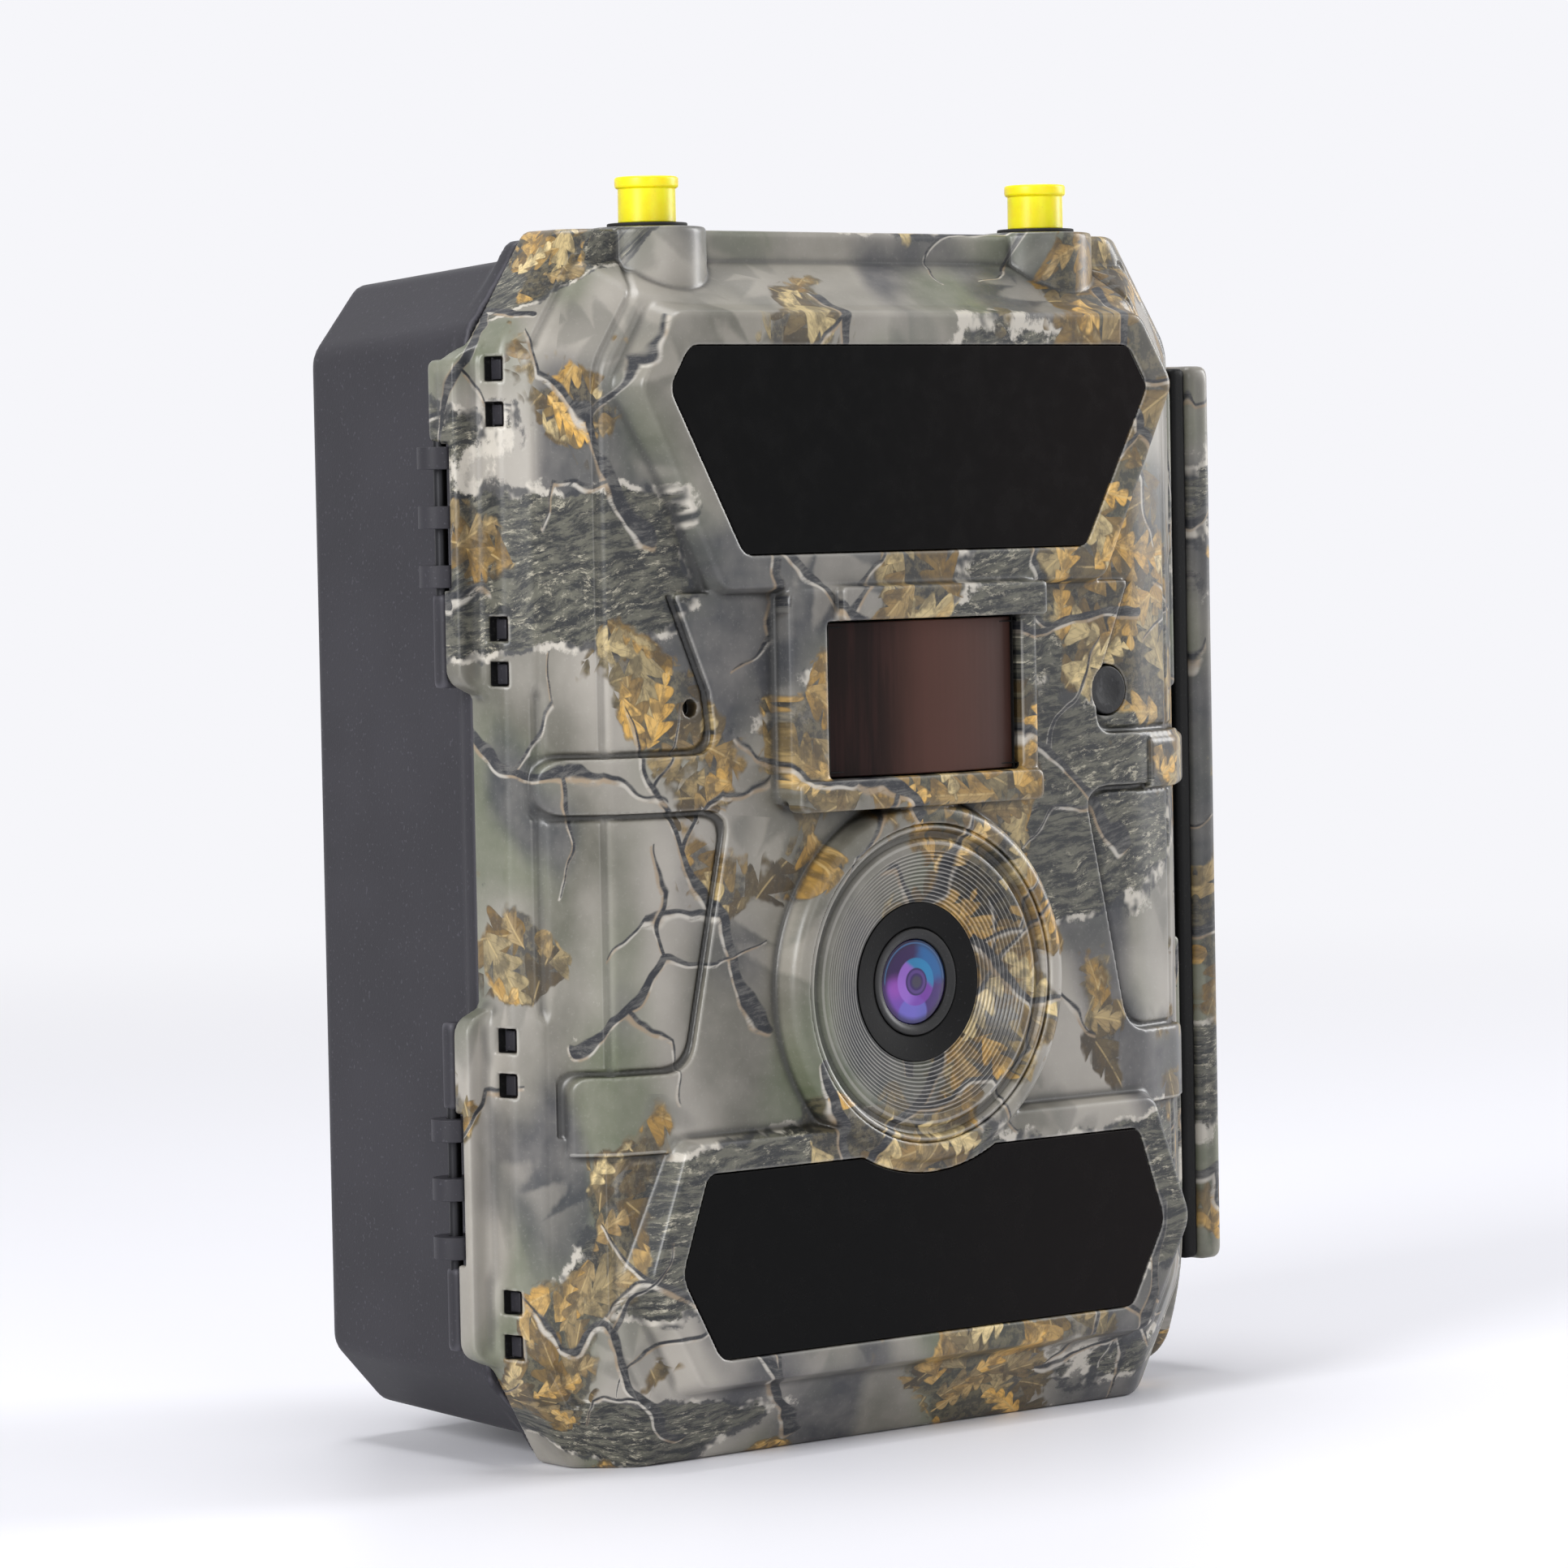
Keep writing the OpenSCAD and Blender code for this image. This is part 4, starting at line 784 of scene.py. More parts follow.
def branches(g, s, t, cell, motif, scale):
    """One forked branch in each cell, turned at random: its dark wood and its pale edge."""
    wx = (g.noise(g.join(s, t), 13.0, 2.5, 0.4) - 0.5) * 9.0
    wy = (g.noise(g.join(s + 50.0, t + 20.0), 13.0, 2.5, 0.4) - 0.5) * 9.0
    at = g.join(s + wx, t + wy)
    centre = g.cells(at, cell, random=0.7, output="Position")
    lx, ly = g.split(g.vector("SUBTRACT", at, centre))[:2]
    turn, flip, keep = g.split(g.cells(at, cell, random=0.7, output="Color"))
    angle = turn * math.tau
    c, n = angle.cos(), angle.sin()
    mirror = g.ramp(flip, 0.49, 0.51) * 2.0 - 1.0
    here = g.join((lx * c + ly * n) * scale, (ly * c - lx * n) * mirror * scale)
    beside = g.join(c * 0.20 + n * 0.40, (n * -0.20 + c * 0.40) * mirror)
    dark = g.ramp(branch_distance(g, here, motif), 0.16, -0.12)
    lit = g.ramp(branch_distance(g, g.vector("ADD", here, beside), motif), 0.28, -0.10)
    present = g.ramp(keep, 0.15, 0.17)
    return dark * present, lit * present


def branch_distance(g, at, motif):
    """How far a point is outside the nearest stretch of the branch."""
    nearest = None
    for x0, y0, x1, y1, w0, w1 in motif:
        way = Vector((x1 - x0, y1 - y0, 0))
        off = g.vector("SUBTRACT", at, (x0, y0, 0))
        dot = g.node("ShaderNodeVectorMath", {0: off, 1: tuple(way / way.length_squared)}, 1,
                     operation="DOT_PRODUCT")
        share = dot.max(0.0).min(1.0)
        rest = g.vector("SUBTRACT", off, g.node("ShaderNodeVectorMath", {0: tuple(way), 3: share},
                                                operation="SCALE"))
        length = g.node("ShaderNodeVectorMath", {0: rest}, 1, operation="LENGTH")
        gap = length - (share * (w1 - w0) + w0) * 0.68
        nearest = gap if nearest is None else nearest.min(gap)
    return nearest


# ------------------------------------------------------------ small pieces
def arc_points(cx, cy, r, start, end, steps):
    """Points (radius, height) on a fillet from angle start to end, in degrees."""
    angles = [math.radians(start + (end - start) * i / steps) for i in range(steps + 1)]
    return [(cx + r * math.cos(a), cy + r * math.sin(a)) for a in angles]


def dust_cap(name, side):
    """Push-on cap: flared mouth, straight body, a rolled rim and a dished top."""
    outer = [(3.12, 147.45), (3.2, 147.35), (3.36, 147.35), (3.45, 147.45), (3.43, 151.3)]
    outer += arc_points(3.45, 151.75, 0.35, -80, 0, 6) + arc_points(3.45, 152.45, 0.35, 0, 90, 6)
    outer += [(2.9, 152.82), (2.6, 152.6), (1.2, 152.5), (0.02, 152.48)]
    inner = [(0.02, 151.9), (2.9, 151.9), (3.12, 151.7)]
    return lathe(name, outer + inner, (side * SOCKET[0], SOCKET[1]), upright=True)


def extruded(name, outline, z0, z1, chamfer):
    """An outline of (x, y) points in millimetres, drawn up from z0 to z1 with broken end edges."""
    mesh = bmesh.new()
    count = len(outline)
    normals = []
    for i in range(count):
        (ax, ay), (bx, by) = outline[i - 1], outline[(i + 1) % count]
        n = math.hypot(bx - ax, by - ay)
        normals.append(((by - ay) / n, (ax - bx) / n))
    rings = []
    for z, inset in ((z0, chamfer), (z0 + chamfer, 0), (z1 - chamfer, 0), (z1, chamfer)):
        rings.append([mesh.verts.new(((x - nx * inset) * MM, (y - ny * inset) * MM, z * MM))
                      for (x, y), (nx, ny) in zip(outline, normals)])
    skin(mesh, rings, closed=False)
    mesh.faces.new(rings[0][::-1])
    mesh.faces.new(rings[-1])
    return finished(name, mesh, 25)


PIR_BULGE_R = 73.95
RIBS = 30


def motion_lens():
    """The sensor's lens: a bulging strip with fine upright ribs, and two feet."""
    half, thick, steps = 15.3, 0.9, 8 * RIBS
    axis_y = -38.2 + PIR_BULGE_R
    def arc(r, x):
        return axis_y - math.sqrt(r * r - x * x)
    front, back = [], []
    for i in range(steps + 1):
        x = -half + 2 * half * i / steps
        rib = 0.0015 * (1 - math.cos(math.tau * RIBS * i / steps))
        front.append((x, arc(PIR_BULGE_R, x) + rib))
        if i % 8 == 0 and abs(x) < half - 1.5:
            back.append((x, arc(PIR_BULGE_R - thick, x)))
    outline = front + [(half, -31.2), (half - 1.4, -31.2), (half - 1.4, -35.8)]
    outline += back[::-1] + [(-half + 1.4, -35.8), (-half + 1.4, -31.2), (-half, -31.2)]
    return extruded("motion_lens_strip", outline, PIR_Z[0] + 0.2, PIR_Z[1] - 0.2, 0.12)


def opening_liner():
    """Thin dark sleeve round the inside of the motion sensor's opening."""
    mesh = bmesh.new()
    cx, cz = 0.0, sum(PIR_Z) / 2
    hx, hz = PIR_HALF, (PIR_Z[1] - PIR_Z[0]) / 2
    rings = []
    for y, shrink in ((-37.1, 0.02), (-37.1, 0.14), (-33.0, 0.14), (-33.0, 0.02)):
        ring = []
        for sx, sz in ((-1, -1), (1, -1), (1, 1), (-1, 1)):
            for k in range(5):
                a = math.radians(22.5 * k) if sx * sz > 0 else math.radians(90 - 22.5 * k)
                r = 0.7
                ring.append(mesh.verts.new(((cx + sx * (hx - shrink - r + r * math.cos(a))) * MM, y * MM,
                                            (cz + sz * (hz - shrink - r + r * math.sin(a))) * MM)))
        rings.append(ring)
    order = list(range(4, -1, -1)) + list(range(9, 4, -1)) + list(range(14, 9, -1)) + list(range(19, 14, -1))
    rings = [[ring[i] for i in order] for ring in rings]
    skin(mesh, rings)
    return finished("motion_opening_liner", mesh, 30)


def lens_parts():
    centre = (0, LENS_Z)
    cone = lathe("lens_black_cone", [(6.6, -33.6), (6.6, -34.75), (6.75, -34.92), (9.3, -35.42), (9.62, -35.46),
                                     (9.65, -35.3), (9.65, -33.6)], centre)
    ring = lathe("lens_inner_ring", [(5.25, -31.0), (5.25, -34.75), (5.35, -34.86), (5.6, -34.92), (5.75, -35.0),
                                     (6.2, -35.08), (6.4, -35.06), (6.5, -34.95), (6.5, -31.0)], centre)
    curve = 24.0
    dome = [(r, -35.12 + curve - math.sqrt(curve * curve - r * r)) for r in
            [0.02] + [0.3 * i for i in range(1, 17)] + [5.05]]
    glass = lathe("lens_front_glass", dome + [(5.15, dome[-1][1] + 0.1), (5.2, -31.0), (0.02, -31.0)], centre)
    return cone, ring, glass


LATCH_X = (58.7, 65.2)
LATCH_Z = (14.5, 130.3)


def latch_part(name, x0, x1, front, radius, end):
    """One half of the long lever: its section between x0 and x1, hollow, with gaps for the ears."""
    c = Carving((x0, front, LATCH_Z[0] + end), (x1, -3.6, LATCH_Z[1] - end), 0.25)
    c.add(box(x0, x1, front, -3.7, LATCH_Z[0] + end, LATCH_Z[1] - end, radius))
    c.cut(lambda x, y, z: -((x - 65.2) * 3 + (y + 7) * 1.4) / math.hypot(3, 1.4) + 0 * z, 0.6)
    c.cut(box(50, 63.3, -18.6, -9.2, LATCH_Z[0] + 2, LATCH_Z[1] - 2, 0.3), 0.2)
    for z in EARS:
        c.cut(box(50, LATCH_PIN[0] + 2.9, -10, -2, z - 0.3, z + 6.3, 0), 0.2)
    c.cut(bar_z(1.05, LATCH_Z[0] + 1.8, LATCH_Z[1] - 1.8, *LATCH_PIN), 0)
    return c.mesh(name)


# body; spots in X and Z; head radius, y of the head's heel and face, shank radius and y of its end
CROSS_SCREWS = {
    "bracket_screw": ("rear_case", [(-16, 114), (16, 114), (-16, 36), (16, 36)], (3.0, 18.0, 19.1, 1.55, 12.0)),
    "tray_screw": ("rear_case", [(-41, 132.8), (41, 132.8), (-41, 13.4), (41, 13.4)],
                   (2.4, 2.6, 1.4, 1.15, 11.6)),
    "panel_screw": ("front_case", [(-42, 124), (42, 124), (-44, 68), (44, 68), (-42, 20), (42, 20)],
                    (2.3, -17.7, -17.0, 1.25, -24.1)),
}


def cross_screw(name, spot, head_r, heel, face, shank_r, end):
    """A pan-head screw along Y with a cross recess, at one (x, z) spot."""
    x, z = spot
    c = Carving((x - head_r, min(face, end), z - head_r), (x + head_r, max(face, end), z + head_r), 0.1)
    out = 1.0 if face > heel else -1.0
    c.add(bar_y(shank_r, *sorted((end, heel + 0.1 * out)), x, z, 0.15))
    c.add(bar_y(head_r, *sorted((heel, face)), x, z, 0.5), 0.1)
    deep = min(0.7, 0.75 * abs(face - heel))
    y0, y1 = sorted((face - deep * out, face + out))
    arm, half = head_r * 0.56, 0.27
    c.cut(box(x - arm, x + arm, y0, y1, z - half, z + half), 0.12)
    c.cut(box(x - half, x + half, y0, y1, z - arm, z + arm), 0.12)
    return c.mesh(name)


def soften(name, width, merge=True):
    """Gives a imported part's hard edges a small moulded radius, in millimetres.

    Flat faces are merged first, except on a face full of openings, which has to stay in triangles."""
    part = NODES[name]
    weld = part.modifiers.new("weld", "WELD")
    weld.merge_threshold = 1e-6
    if merge:
        flat = part.modifiers.new("flat", "DECIMATE")
        flat.decimate_type = "DISSOLVE"
        flat.angle_limit = math.radians(0.4)
    bevel = part.modifiers.new("radius", "BEVEL")
    bevel.width = width * MM
    bevel.segments = 2
    bevel.limit_method = "ANGLE"
    bevel.angle_limit = math.radians(35)
    bevel.miter_outer = "MITER_ARC"
    bevel.harden_normals = False
    smooth(part)
    part.modifiers.new("normals", "WEIGHTED_NORMAL").keep_sharp = True


def smooth(part):
    """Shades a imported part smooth; its vertices stay as they are."""
    for polygon in part.data.polygons:
        polygon.use_smooth = True


# ------------------------------------------------------ a material per slot
def window_black():
    """Glossy infrared filter, near black, a little browner towards the right."""
    g = Graph("infrared_window")
    wide = g.noise(g.p, 26.0, 2.0, flat=False)
    base = g.mix(g.ramp(g.x + (wide - 0.5) * 20.0, -20.0, 44.0), srgb(3, 3, 3), srgb(14, 9, 8))
    haze = g.ramp(g.noise(g.p, 3.0, 4.0, 0.6, flat=False), 0.35, 0.75)
    return g.shader(color=base, rough=haze * 0.08 + 0.22, gloss=0.09,
                    normal=g.bump(g.noise(g.p, 7.0, 2.0, flat=False), 0.01, 0.25))


def motion_lens_plastic():
    """Brown translucent polythene with upright moulding streaks, painted dark on the left and painted light from
    the middle to the right.
    """
    g = Graph("motion_lens_plastic")
    streak = g.noise(g.join(g.x, g.z * 0.06), 1.1, 3.0, 0.6)
    # painted light: darkest on the left, brightest a little right of the middle, a bit less at the far right
    lit = g.ramp(g.x + (streak - 0.5) * 0.8, -9.0, 1.0) - g.ramp(g.x, 5.0, 15.0) * 0.4
    tone = g.mix(lit, srgb(28, 19, 17), srgb(77, 52, 45))
    tone = g.mix(g.ramp(streak, 0.4, 0.7) * 0.12, tone, srgb(84, 50, 46))
    return g.shader(color=tone, rough=streak * 0.1 + 0.34, gloss=0.1, normal=g.bump(streak, 0.01, 0.3))


def coated_glass():
    """Lens glass with painted reflections of its coating laid out round the axis, painted shade in the depths
    inside and a painted highlight on the upper rim.
    """
    g = Graph("coated_lens_glass")
    dx, dz = g.x, g.z - LENS_Z
    r = (dx * dx + dz * dz).root()
    wobble = g.noise(g.p, 1.6, 3.0, flat=False) - 0.5
    right = g.ramp(dx + wobble, -0.4, 1.6)
    up = g.ramp(dz + wobble, -0.8, 1.0)
    # painted reflections of the coating: violet on the left, blue to cyan at the upper right, mauve and lavender
    # spots and a coloured band round r 2.3
    left_half = g.mix(up, srgb(112, 70, 168), srgb(44, 18, 74))
    right_half = g.mix(up, srgb(58, 26, 104), srgb(26, 92, 150))
    tone = g.mix(right, left_half, right_half)
    mauve = g.ramp(((dx + 3.2) * (dx + 3.2) + (dz + 0.6) * (dz + 0.6)).root(), 2.2, 0.3)
    tone = g.mix(mauve * 0.7, tone, srgb(152, 76, 178))
    lobe = g.ramp(((dx + 0.4) * (dx + 0.4) + (dz + 4.0) * (dz + 4.0)).root(), 2.5, 2.1)
    tone = g.mix(lobe * 0.7, tone, srgb(104, 108, 196))
    band = g.ramp(abs(r - 2.3), 0.72, 0.5)
    hue = g.mix(g.ramp(dx - dz * 0.5, -0.8, 1.4), srgb(150, 104, 200), srgb(116, 52, 160))
    hue = g.mix(g.ramp(dx * 0.8 + dz, 0.9, 1.8), hue, srgb(36, 128, 176))
    tone = g.mix(band * 0.8, tone, hue)
    # painted shade in the depths at the middle and towards the edge, with a paler ring at r 1.25 and a grey
    # middle that are painted reflections
    tone = g.mix(g.ramp(r, 1.75, 1.6), tone, srgb(48, 28, 88))
    tone = g.mix(g.ramp(abs(r - 1.25), 0.3, 0.1) * 0.6, tone, srgb(96, 66, 140))
    tone = g.mix(g.ramp(r, 0.95, 0.5), tone, srgb(62, 58, 76))
    tone = g.mix(g.ramp(r, 4.1, 4.9) * 0.75, tone, srgb(26, 20, 46))
    # painted highlight on the upper part of the rim
    rim = g.ramp(abs(r - 4.72), 0.14, 0.04)
    tone = g.mix(rim * g.ramp(up, 0.2, 0.8) * 0.7, tone, srgb(70, 112, 160))
    return g.shader(color=tone, rough=wobble * 0.04 + 0.10, gloss=0.35, coat=0.25, coat_rough=0.05,
                    normal=g.bump(g.noise(g.p, 0.8, 2.0, flat=False), 0.002, 0.2))


def circuit_board():
    """Green solder mask over tracks, with gilt pads and pale legend dashes."""
    g = Graph("circuit_board_green")
    bend = (g.noise(g.join(g.x, g.z), 12.0, 0.0) - 0.5) * 8.0
    track = g.ramp(abs((g.x * 0.7 + bend).part() - 0.5), 0.16, 0.12)
    lanes = g.ramp(g.noise(g.join(g.x * 0.4, g.z), 9.0, 1.0), 0.48, 0.52)
    base = g.mix(track * lanes, srgb(18, 92, 52), srgb(34, 122, 70))
    pads = g.ramp(g.cells(g.join(g.x, g.z), 3.1, random=0.55), 0.14, 0.11)
    base = g.mix(pads * g.ramp(g.noise(g.p, 8.0, 1.0, flat=False), 0.5, 0.55), base, srgb(206, 176, 96))
    mottled = g.noise(g.p, 5.0, 3.0, flat=False)
    return g.shader(color=g.mix((mottled - 0.4) * 0.3, base, srgb(10, 60, 36)), rough=mottled * 0.2 + 0.28,
                    normal=g.bump(track * lanes, 0.03, 0.5))


def display_panel():
    """Dark polarised glass over a faint grid of cells."""
    g = Graph("display_panel_dark")
    grid = abs((g.x * 2.0).part() - 0.5).max(abs((g.z * 2.0).part() - 0.5))
    cloud = g.noise(g.p, 16.0, 2.0, flat=False)
    base = g.mix(g.ramp(grid, 0.44, 0.5) * 0.5, srgb(24, 30, 40), srgb(14, 17, 23))
    return g.shader(color=g.mix(cloud * 0.4, base, srgb(34, 40, 58)), rough=cloud * 0.1 + 0.1, gloss=0.5)


def clear_plastic():
    """Water-clear moulding with a few flow marks."""
    g = Graph("clear_plastic")
    flow = g.noise(g.p, 2.5, 3.0, flat=False)
    return g.shader(color=g.mix(flow, srgb(226, 230, 236), srgb(246, 248, 250)), rough=flow * 0.05 + 0.03,
                    clear=0.99, ior=1.49)


def filter_glass():
    g = Graph("filter_glass_pink")
    sheen = g.noise(g.p, 3.0, 2.0, flat=False)
    return g.shader(color=g.mix(sheen, srgb(214, 128, 140), srgb(196, 150, 190)), rough=sheen * 0.05 + 0.04,
                    clear=0.7, ior=1.52)


def cap_yellow():
    """Bright translucent yellow polythene, a little duller where it is handled."""
    g = Graph("cap_yellow")
    cloud = g.noise(g.p, 3.2, 3.0, 0.6, flat=False)
    tone = g.mix(g.ramp(cloud, 0.3, 0.7), srgb(250, 222, 0), srgb(255, 236, 4))
    tone = g.mix(g.ramp(g.noise(g.p, 0.7, 3.0, flat=False), 0.66, 0.8) * 0.25, tone, srgb(216, 180, 4))
    return g.shader(color=tone, rough=cloud * 0.15 + 0.3, soft=0.25, reach=0.002,
                    normal=g.bump(g.noise(g.p, 0.5, 2.0, flat=False), 0.01, 0.4))


def cell_sleeve():
    """Shrink sleeve in two plain bands, with bare steel at both ends."""
    g = Graph("cell_sleeve_green")
    height = (g.z - 21.5) / 54.9
    share = height.part() * 54.9
    band = g.ramp(share, 13.8, 14.2)
    tone = g.mix(band, srgb(206, 168, 84), srgb(34, 84, 60))
    wrap = g.noise(g.join(g.x, g.z * 0.15), 1.5, 3.0)
    tone = g.mix(g.ramp(wrap, 0.35, 0.7) * 0.2, tone, srgb(20, 44, 34))
    steel = g.ramp(share, 0.9, 0.5).max(g.ramp(share, 48.6, 49.0))
    return g.shader(
        color=g.mix(steel, tone, srgb(176, 176, 180)), metal=steel, rough=wrap * 0.12 + 0.24,
        normal=g.bump(wrap, 0.02, 0.4))


def card_plastic():
    g = Graph("card_plastic_blue")
    fine = g.noise(g.p, 0.6, 3.0, flat=False)
    gilt = g.ramp(abs((g.x * 0.42).part() - 0.5), 0.3, 0.27) * g.ramp(g.z, 54.6, 54.2)
    tone = g.mix(fine, srgb(24, 30, 66), srgb(34, 42, 84))
    return g.shader(color=g.mix(gilt * 0.8, tone, srgb(198, 160, 84)), rough=fine * 0.15 + 0.32,
                    normal=g.bump(fine, 0.01, 0.4))


SLOTS = {
    "camouflage_plastic": camouflage(),
    "dark_plastic": speckled("dark_case_plastic", srgb(44, 43, 48), 0.5, 0.3, 0.03, 0.10, 0.28),
    "black_window": window_black(),
    "motion_lens": motion_lens_plastic(),
    "black_plastic": speckled("lens_black_plastic", srgb(12, 12, 12), 0.5, 0.25, 0.02, 0.15, 0.12),
    "trim_plastic": speckled("lens_trim_plastic", srgb(34, 34, 34), 0.35, 0.2, 0.01, 0.15, 0.3),
    "coated_glass": coated_glass(),
    "filter_glass": filter_glass(),
    "clear_plastic": clear_plastic(),
    "circuit_board": circuit_board(),
    "display_panel": display_panel(),
    "rubber_seal": speckled("seal_rubber", srgb(28, 28, 29), 0.7, 0.4, 0.03, 0.2, 0.25),
    "key_rubber": speckled("key_rubber_grey", srgb(66, 67, 70), 0.75, 0.35, 0.03, 0.15, 0.2),
    "bright_steel": metal("bright_plated_steel", srgb(148, 148, 152), 0.34),
    "gilt_brass": metal("gilt_brass_turned", srgb(226, 188, 106), 0.25),
    "yellow_plastic": cap_yellow(),
    "switch_plastic": speckled("switch_plastic_black", srgb(34, 34, 36), 0.5, 0.3, 0.02, 0.15, 0.3),
    "card_plastic": card_plastic(),
    "cell_sleeve": cell_sleeve(),
}
for part in NODES.values():
    for holder in part.material_slots:
        holder.material = SLOTS[holder.material.name.split(".")[0]]
    smooth(part)
# the hinge pins get a dark steel colour in place of their bright slot
NODES["hinge_pins"].material_slots[0].material = metal("dark_steel", srgb(52, 52, 54), 0.4)
NODES["front_button"].material_slots[0].material = speckled("button_rubber", srgb(38, 38, 39), 0.5, 0.5, 0.05,
                                                            0.2, 0.25)


def place(piece, body, slot_name, *nodes, material=None):
    """Gives a new piece its finish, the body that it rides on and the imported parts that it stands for."""
    piece.data.materials.append(material or SLOTS[slot_name])
    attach(piece, body)
    if nodes:
        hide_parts(*nodes)


place(front_shell(), "front_case", "camouflage_plastic", "front_shell")
place(stepped_insert(), "front_case", "camouflage_plastic", "front_shell",
      material=camouflage("woodland_camouflage_turned", steps=True))
place(rear_shell(), "rear_case", "dark_plastic", "rear_shell")
place(latch_part("latch_cover", 61.1, LATCH_X[1], FLANGE_Y, 1.3, 0), "side_latch", "camouflage_plastic",
      "latch_lever")
place(latch_part("latch_body", LATCH_X[0], 61.3, FLANGE_Y + 0.5, 0.8, 0.3), "side_latch", "black_plastic",
      "latch_lever")
place(motion_lens(), "front_case", "motion_lens", "pir_lens")
place(opening_liner(), "front_case", "black_plastic")
cone, ring, glass = lens_parts()
place(cone, "front_case", "black_plastic", "lens_disc")
place(ring, "front_case", "trim_plastic", "lens_trim_ring")
place(glass, "front_case", "coated_glass", "lens_glass")
place(dust_cap("cap_left_moulding", -1), "dust_cap_left", "yellow_plastic", "dust_cap_left")
place(dust_cap("cap_right_moulding", 1), "dust_cap_right", "yellow_plastic", "dust_cap_right")

for label, (body, spots, sizes) in CROSS_SCREWS.items():
    for i, spot in enumerate(spots):
        place(cross_screw("%s_%d" % (label, i + 1), spot, *sizes), body, "bright_steel", label + "s")

for names, width in ((("strap_bracket",), 0.6), (("front_frame",), 0.3),
                     (("upper_window", "lower_window", "front_button", "display_cover"), 0.22),
                     (("frame_clips", "socket_washers", "case_gasket", "display", "dc_plug", "dc_inlet"), 0.14),
                     (("key_up", "key_down", "key_left", "key_right", "key_ok", "key_menu"), 0.25),
                     (("power_switch", "power_slider", "memory_card", "card_sockets", "speaker"), 0.15),
                     (("microphone", "pir_sensor"), 0.15),
                     (("latch_pin", "hinge_pins", "latch_liner", "lens_mount", "lens_barrel"), 0.12),
                     (("main_board", "sensor_board", "upper_led_board", "lower_led_board"), 0.08),
                     (("battery_cells", "tripod_insert", "antenna_sockets"), 0.2)):
    for name in names:
        soften(name, width)
soften("battery_tray", 0.3, merge=False)


# ------------------------------------------------- floor, lights and camera
BACKDROP = srgb(246, 246, 250)


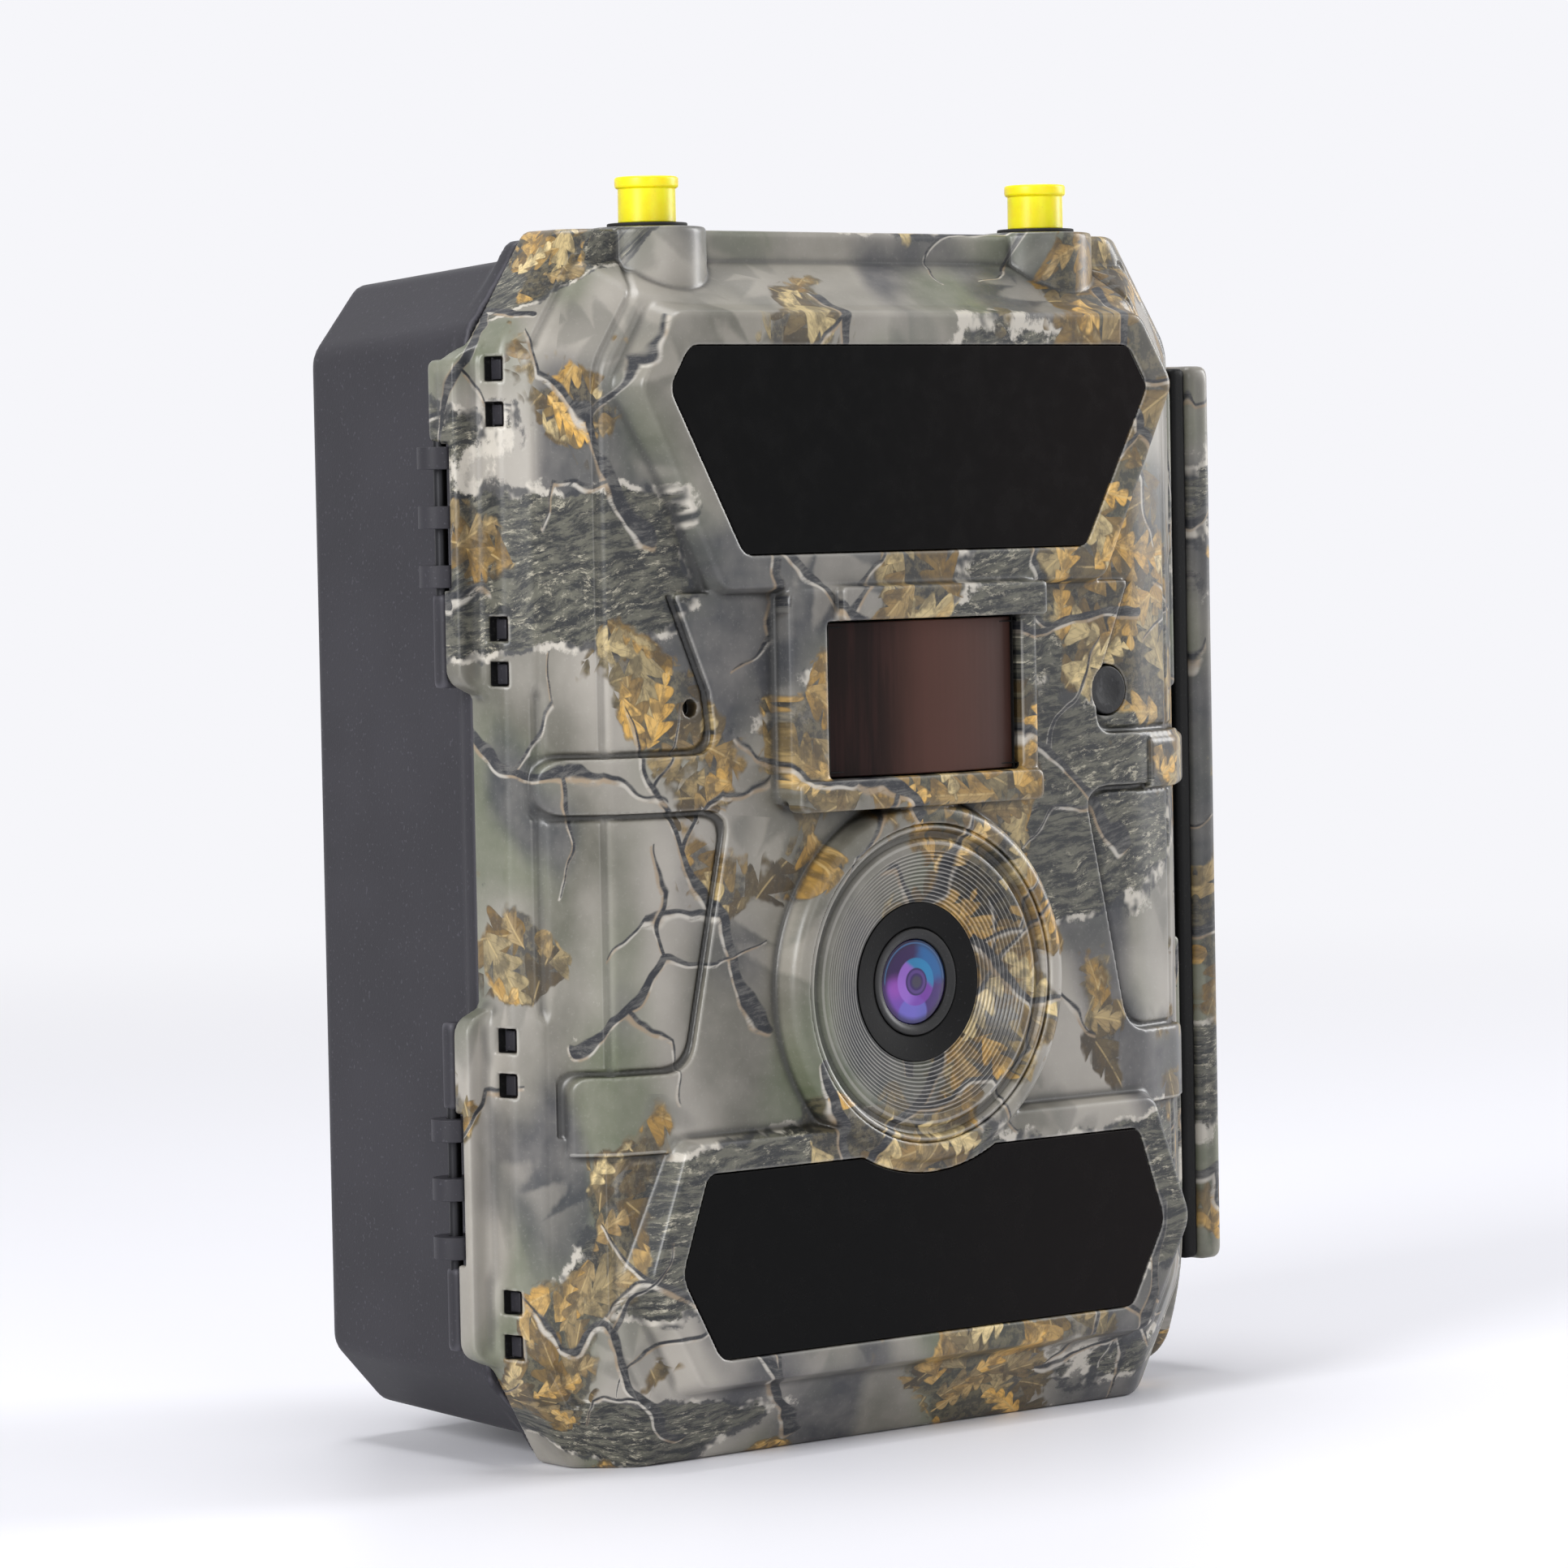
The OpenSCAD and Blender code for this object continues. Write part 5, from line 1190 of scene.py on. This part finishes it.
def floor():
    """A pale floor that keeps the object's shadow and fades into the backdrop with distance."""
    bpy.ops.mesh.primitive_circle_add(vertices=128, radius=6.0, fill_type="NGON", location=(0, 0, 0))
    plate = bpy.context.object
    plate.name = "studio_floor"
    g = Graph("studio_floor_white")
    far = g.ramp((g.x * g.x + g.y * g.y).root(), 180.0, 900.0)
    path = g.tree.nodes.new("ShaderNodeLightPath").outputs
    camera_ray, glossy_ray, clear_ray = (Value(g, path["Is %s Ray" % kind])
                                         for kind in ("Camera", "Glossy", "Transmission"))
    seen = camera_ray + glossy_ray + clear_ray
    paper = g.noise(g.p, 60.0, 3.0, flat=False)
    tone = g.mix(paper * 0.15, srgb(244, 244, 250), srgb(238, 238, 246))
    matt = g.node("ShaderNodeBsdfPrincipled", {"Base Color": tone, "Roughness": 0.45, "Specular IOR Level": 0.3})
    plain = g.node("ShaderNodeEmission", {"Color": BACKDROP, "Strength": 1.0})
    both = g.node("ShaderNodeMixShader", {0: far * seen.min(1.0), 1: matt, 2: plain})
    out = g.tree.nodes.new("ShaderNodeOutputMaterial")
    g.tree.links.new(both.source, out.inputs["Surface"])
    plate.data.materials.append(g.material)
    plate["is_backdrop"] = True


def world(strength):
    """Soft surrounding light; the camera, gloss and glass see the plain pale backdrop."""
    sky = bpy.data.worlds.new("studio")
    bpy.context.scene.world = sky
    sky.use_nodes = True
    tree = sky.node_tree
    tree.nodes.clear()
    path = tree.nodes.new("ShaderNodeLightPath")
    total = path.outputs["Is Camera Ray"]
    for name in ("Is Glossy Ray", "Is Transmission Ray"):
        add = tree.nodes.new("ShaderNodeMath")
        add.operation = "ADD"
        add.use_clamp = True
        tree.links.new(total, add.inputs[0])
        tree.links.new(path.outputs[name], add.inputs[1])
        total = add.outputs[0]
    seen, light = tree.nodes.new("ShaderNodeBackground"), tree.nodes.new("ShaderNodeBackground")
    seen.inputs["Color"].default_value = (*BACKDROP, 1)
    light.inputs["Color"].default_value = (*srgb(250, 250, 255), 1)
    light.inputs["Strength"].default_value = strength
    blend, out = tree.nodes.new("ShaderNodeMixShader"), tree.nodes.new("ShaderNodeOutputWorld")
    tree.links.new(total, blend.inputs[0])
    tree.links.new(light.outputs[0], blend.inputs[1])
    tree.links.new(seen.outputs[0], blend.inputs[2])
    tree.links.new(blend.outputs[0], out.inputs["Surface"])


def soft_box(name, place_at, size, power, aim=(0, -0.01, 0.075)):
    lamp = bpy.data.lights.new(name, "AREA")
    lamp.shape = "RECTANGLE"
    lamp.size, lamp.size_y = size
    lamp.energy = power
    holder = bpy.data.objects.new(name, lamp)
    holder.location = place_at
    holder.rotation_euler = (Vector(aim) - Vector(place_at)).to_track_quat("-Z", "Y").to_euler()
    bpy.context.scene.collection.objects.link(holder)


def camera():
    """Views the front from its left, at the height of the case's middle."""
    az, pitch, roll = (math.radians(a) for a in (-40.048, 2.714, -1.082))
    back = Vector((math.sin(az) * math.cos(pitch), -math.cos(az) * math.cos(pitch), math.sin(pitch)))
    right = (-back).cross(Vector((0, 0, 1))).normalized()
    up = right.cross(-back)
    across = right * math.cos(roll) + up * math.sin(roll)
    over = up * math.cos(roll) - right * math.sin(roll)
    at = (across * -16.862 + over * 0.3 + back * 759.24 + Vector((0, -37, 79.2))) * MM
    data = bpy.data.cameras.new("studio_camera")
    data.sensor_width = 36
    data.lens = 144.05
    data.clip_start, data.clip_end = 0.05, 50
    holder = bpy.data.objects.new("studio_camera", data)
    holder.matrix_world = Matrix(((across.x, over.x, back.x, at.x), (across.y, over.y, back.y, at.y),
                                  (across.z, over.z, back.z, at.z), (0, 0, 0, 1)))
    bpy.context.scene.collection.objects.link(holder)
    bpy.context.scene.camera = holder


floor()
world(0.10)
soft_box("key_left", (-1.25, -0.28, 0.60), (0.45, 0.7), 15.0)
soft_box("fill_front", (-0.25, -1.15, 0.50), (0.6, 0.6), 2.6)
soft_box("side_right", (1.25, -0.40, 0.50), (0.4, 0.7), 12.0)
soft_box("top", (0.0, 0.1, 1.2), (0.6, 0.6), 7.5)
camera()
bpy.context.scene.view_settings.view_transform = "Standard"

sizes = {"cad": [list(corner) for corner in CAD_BOX], "visual": [list(corner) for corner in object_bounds()]}
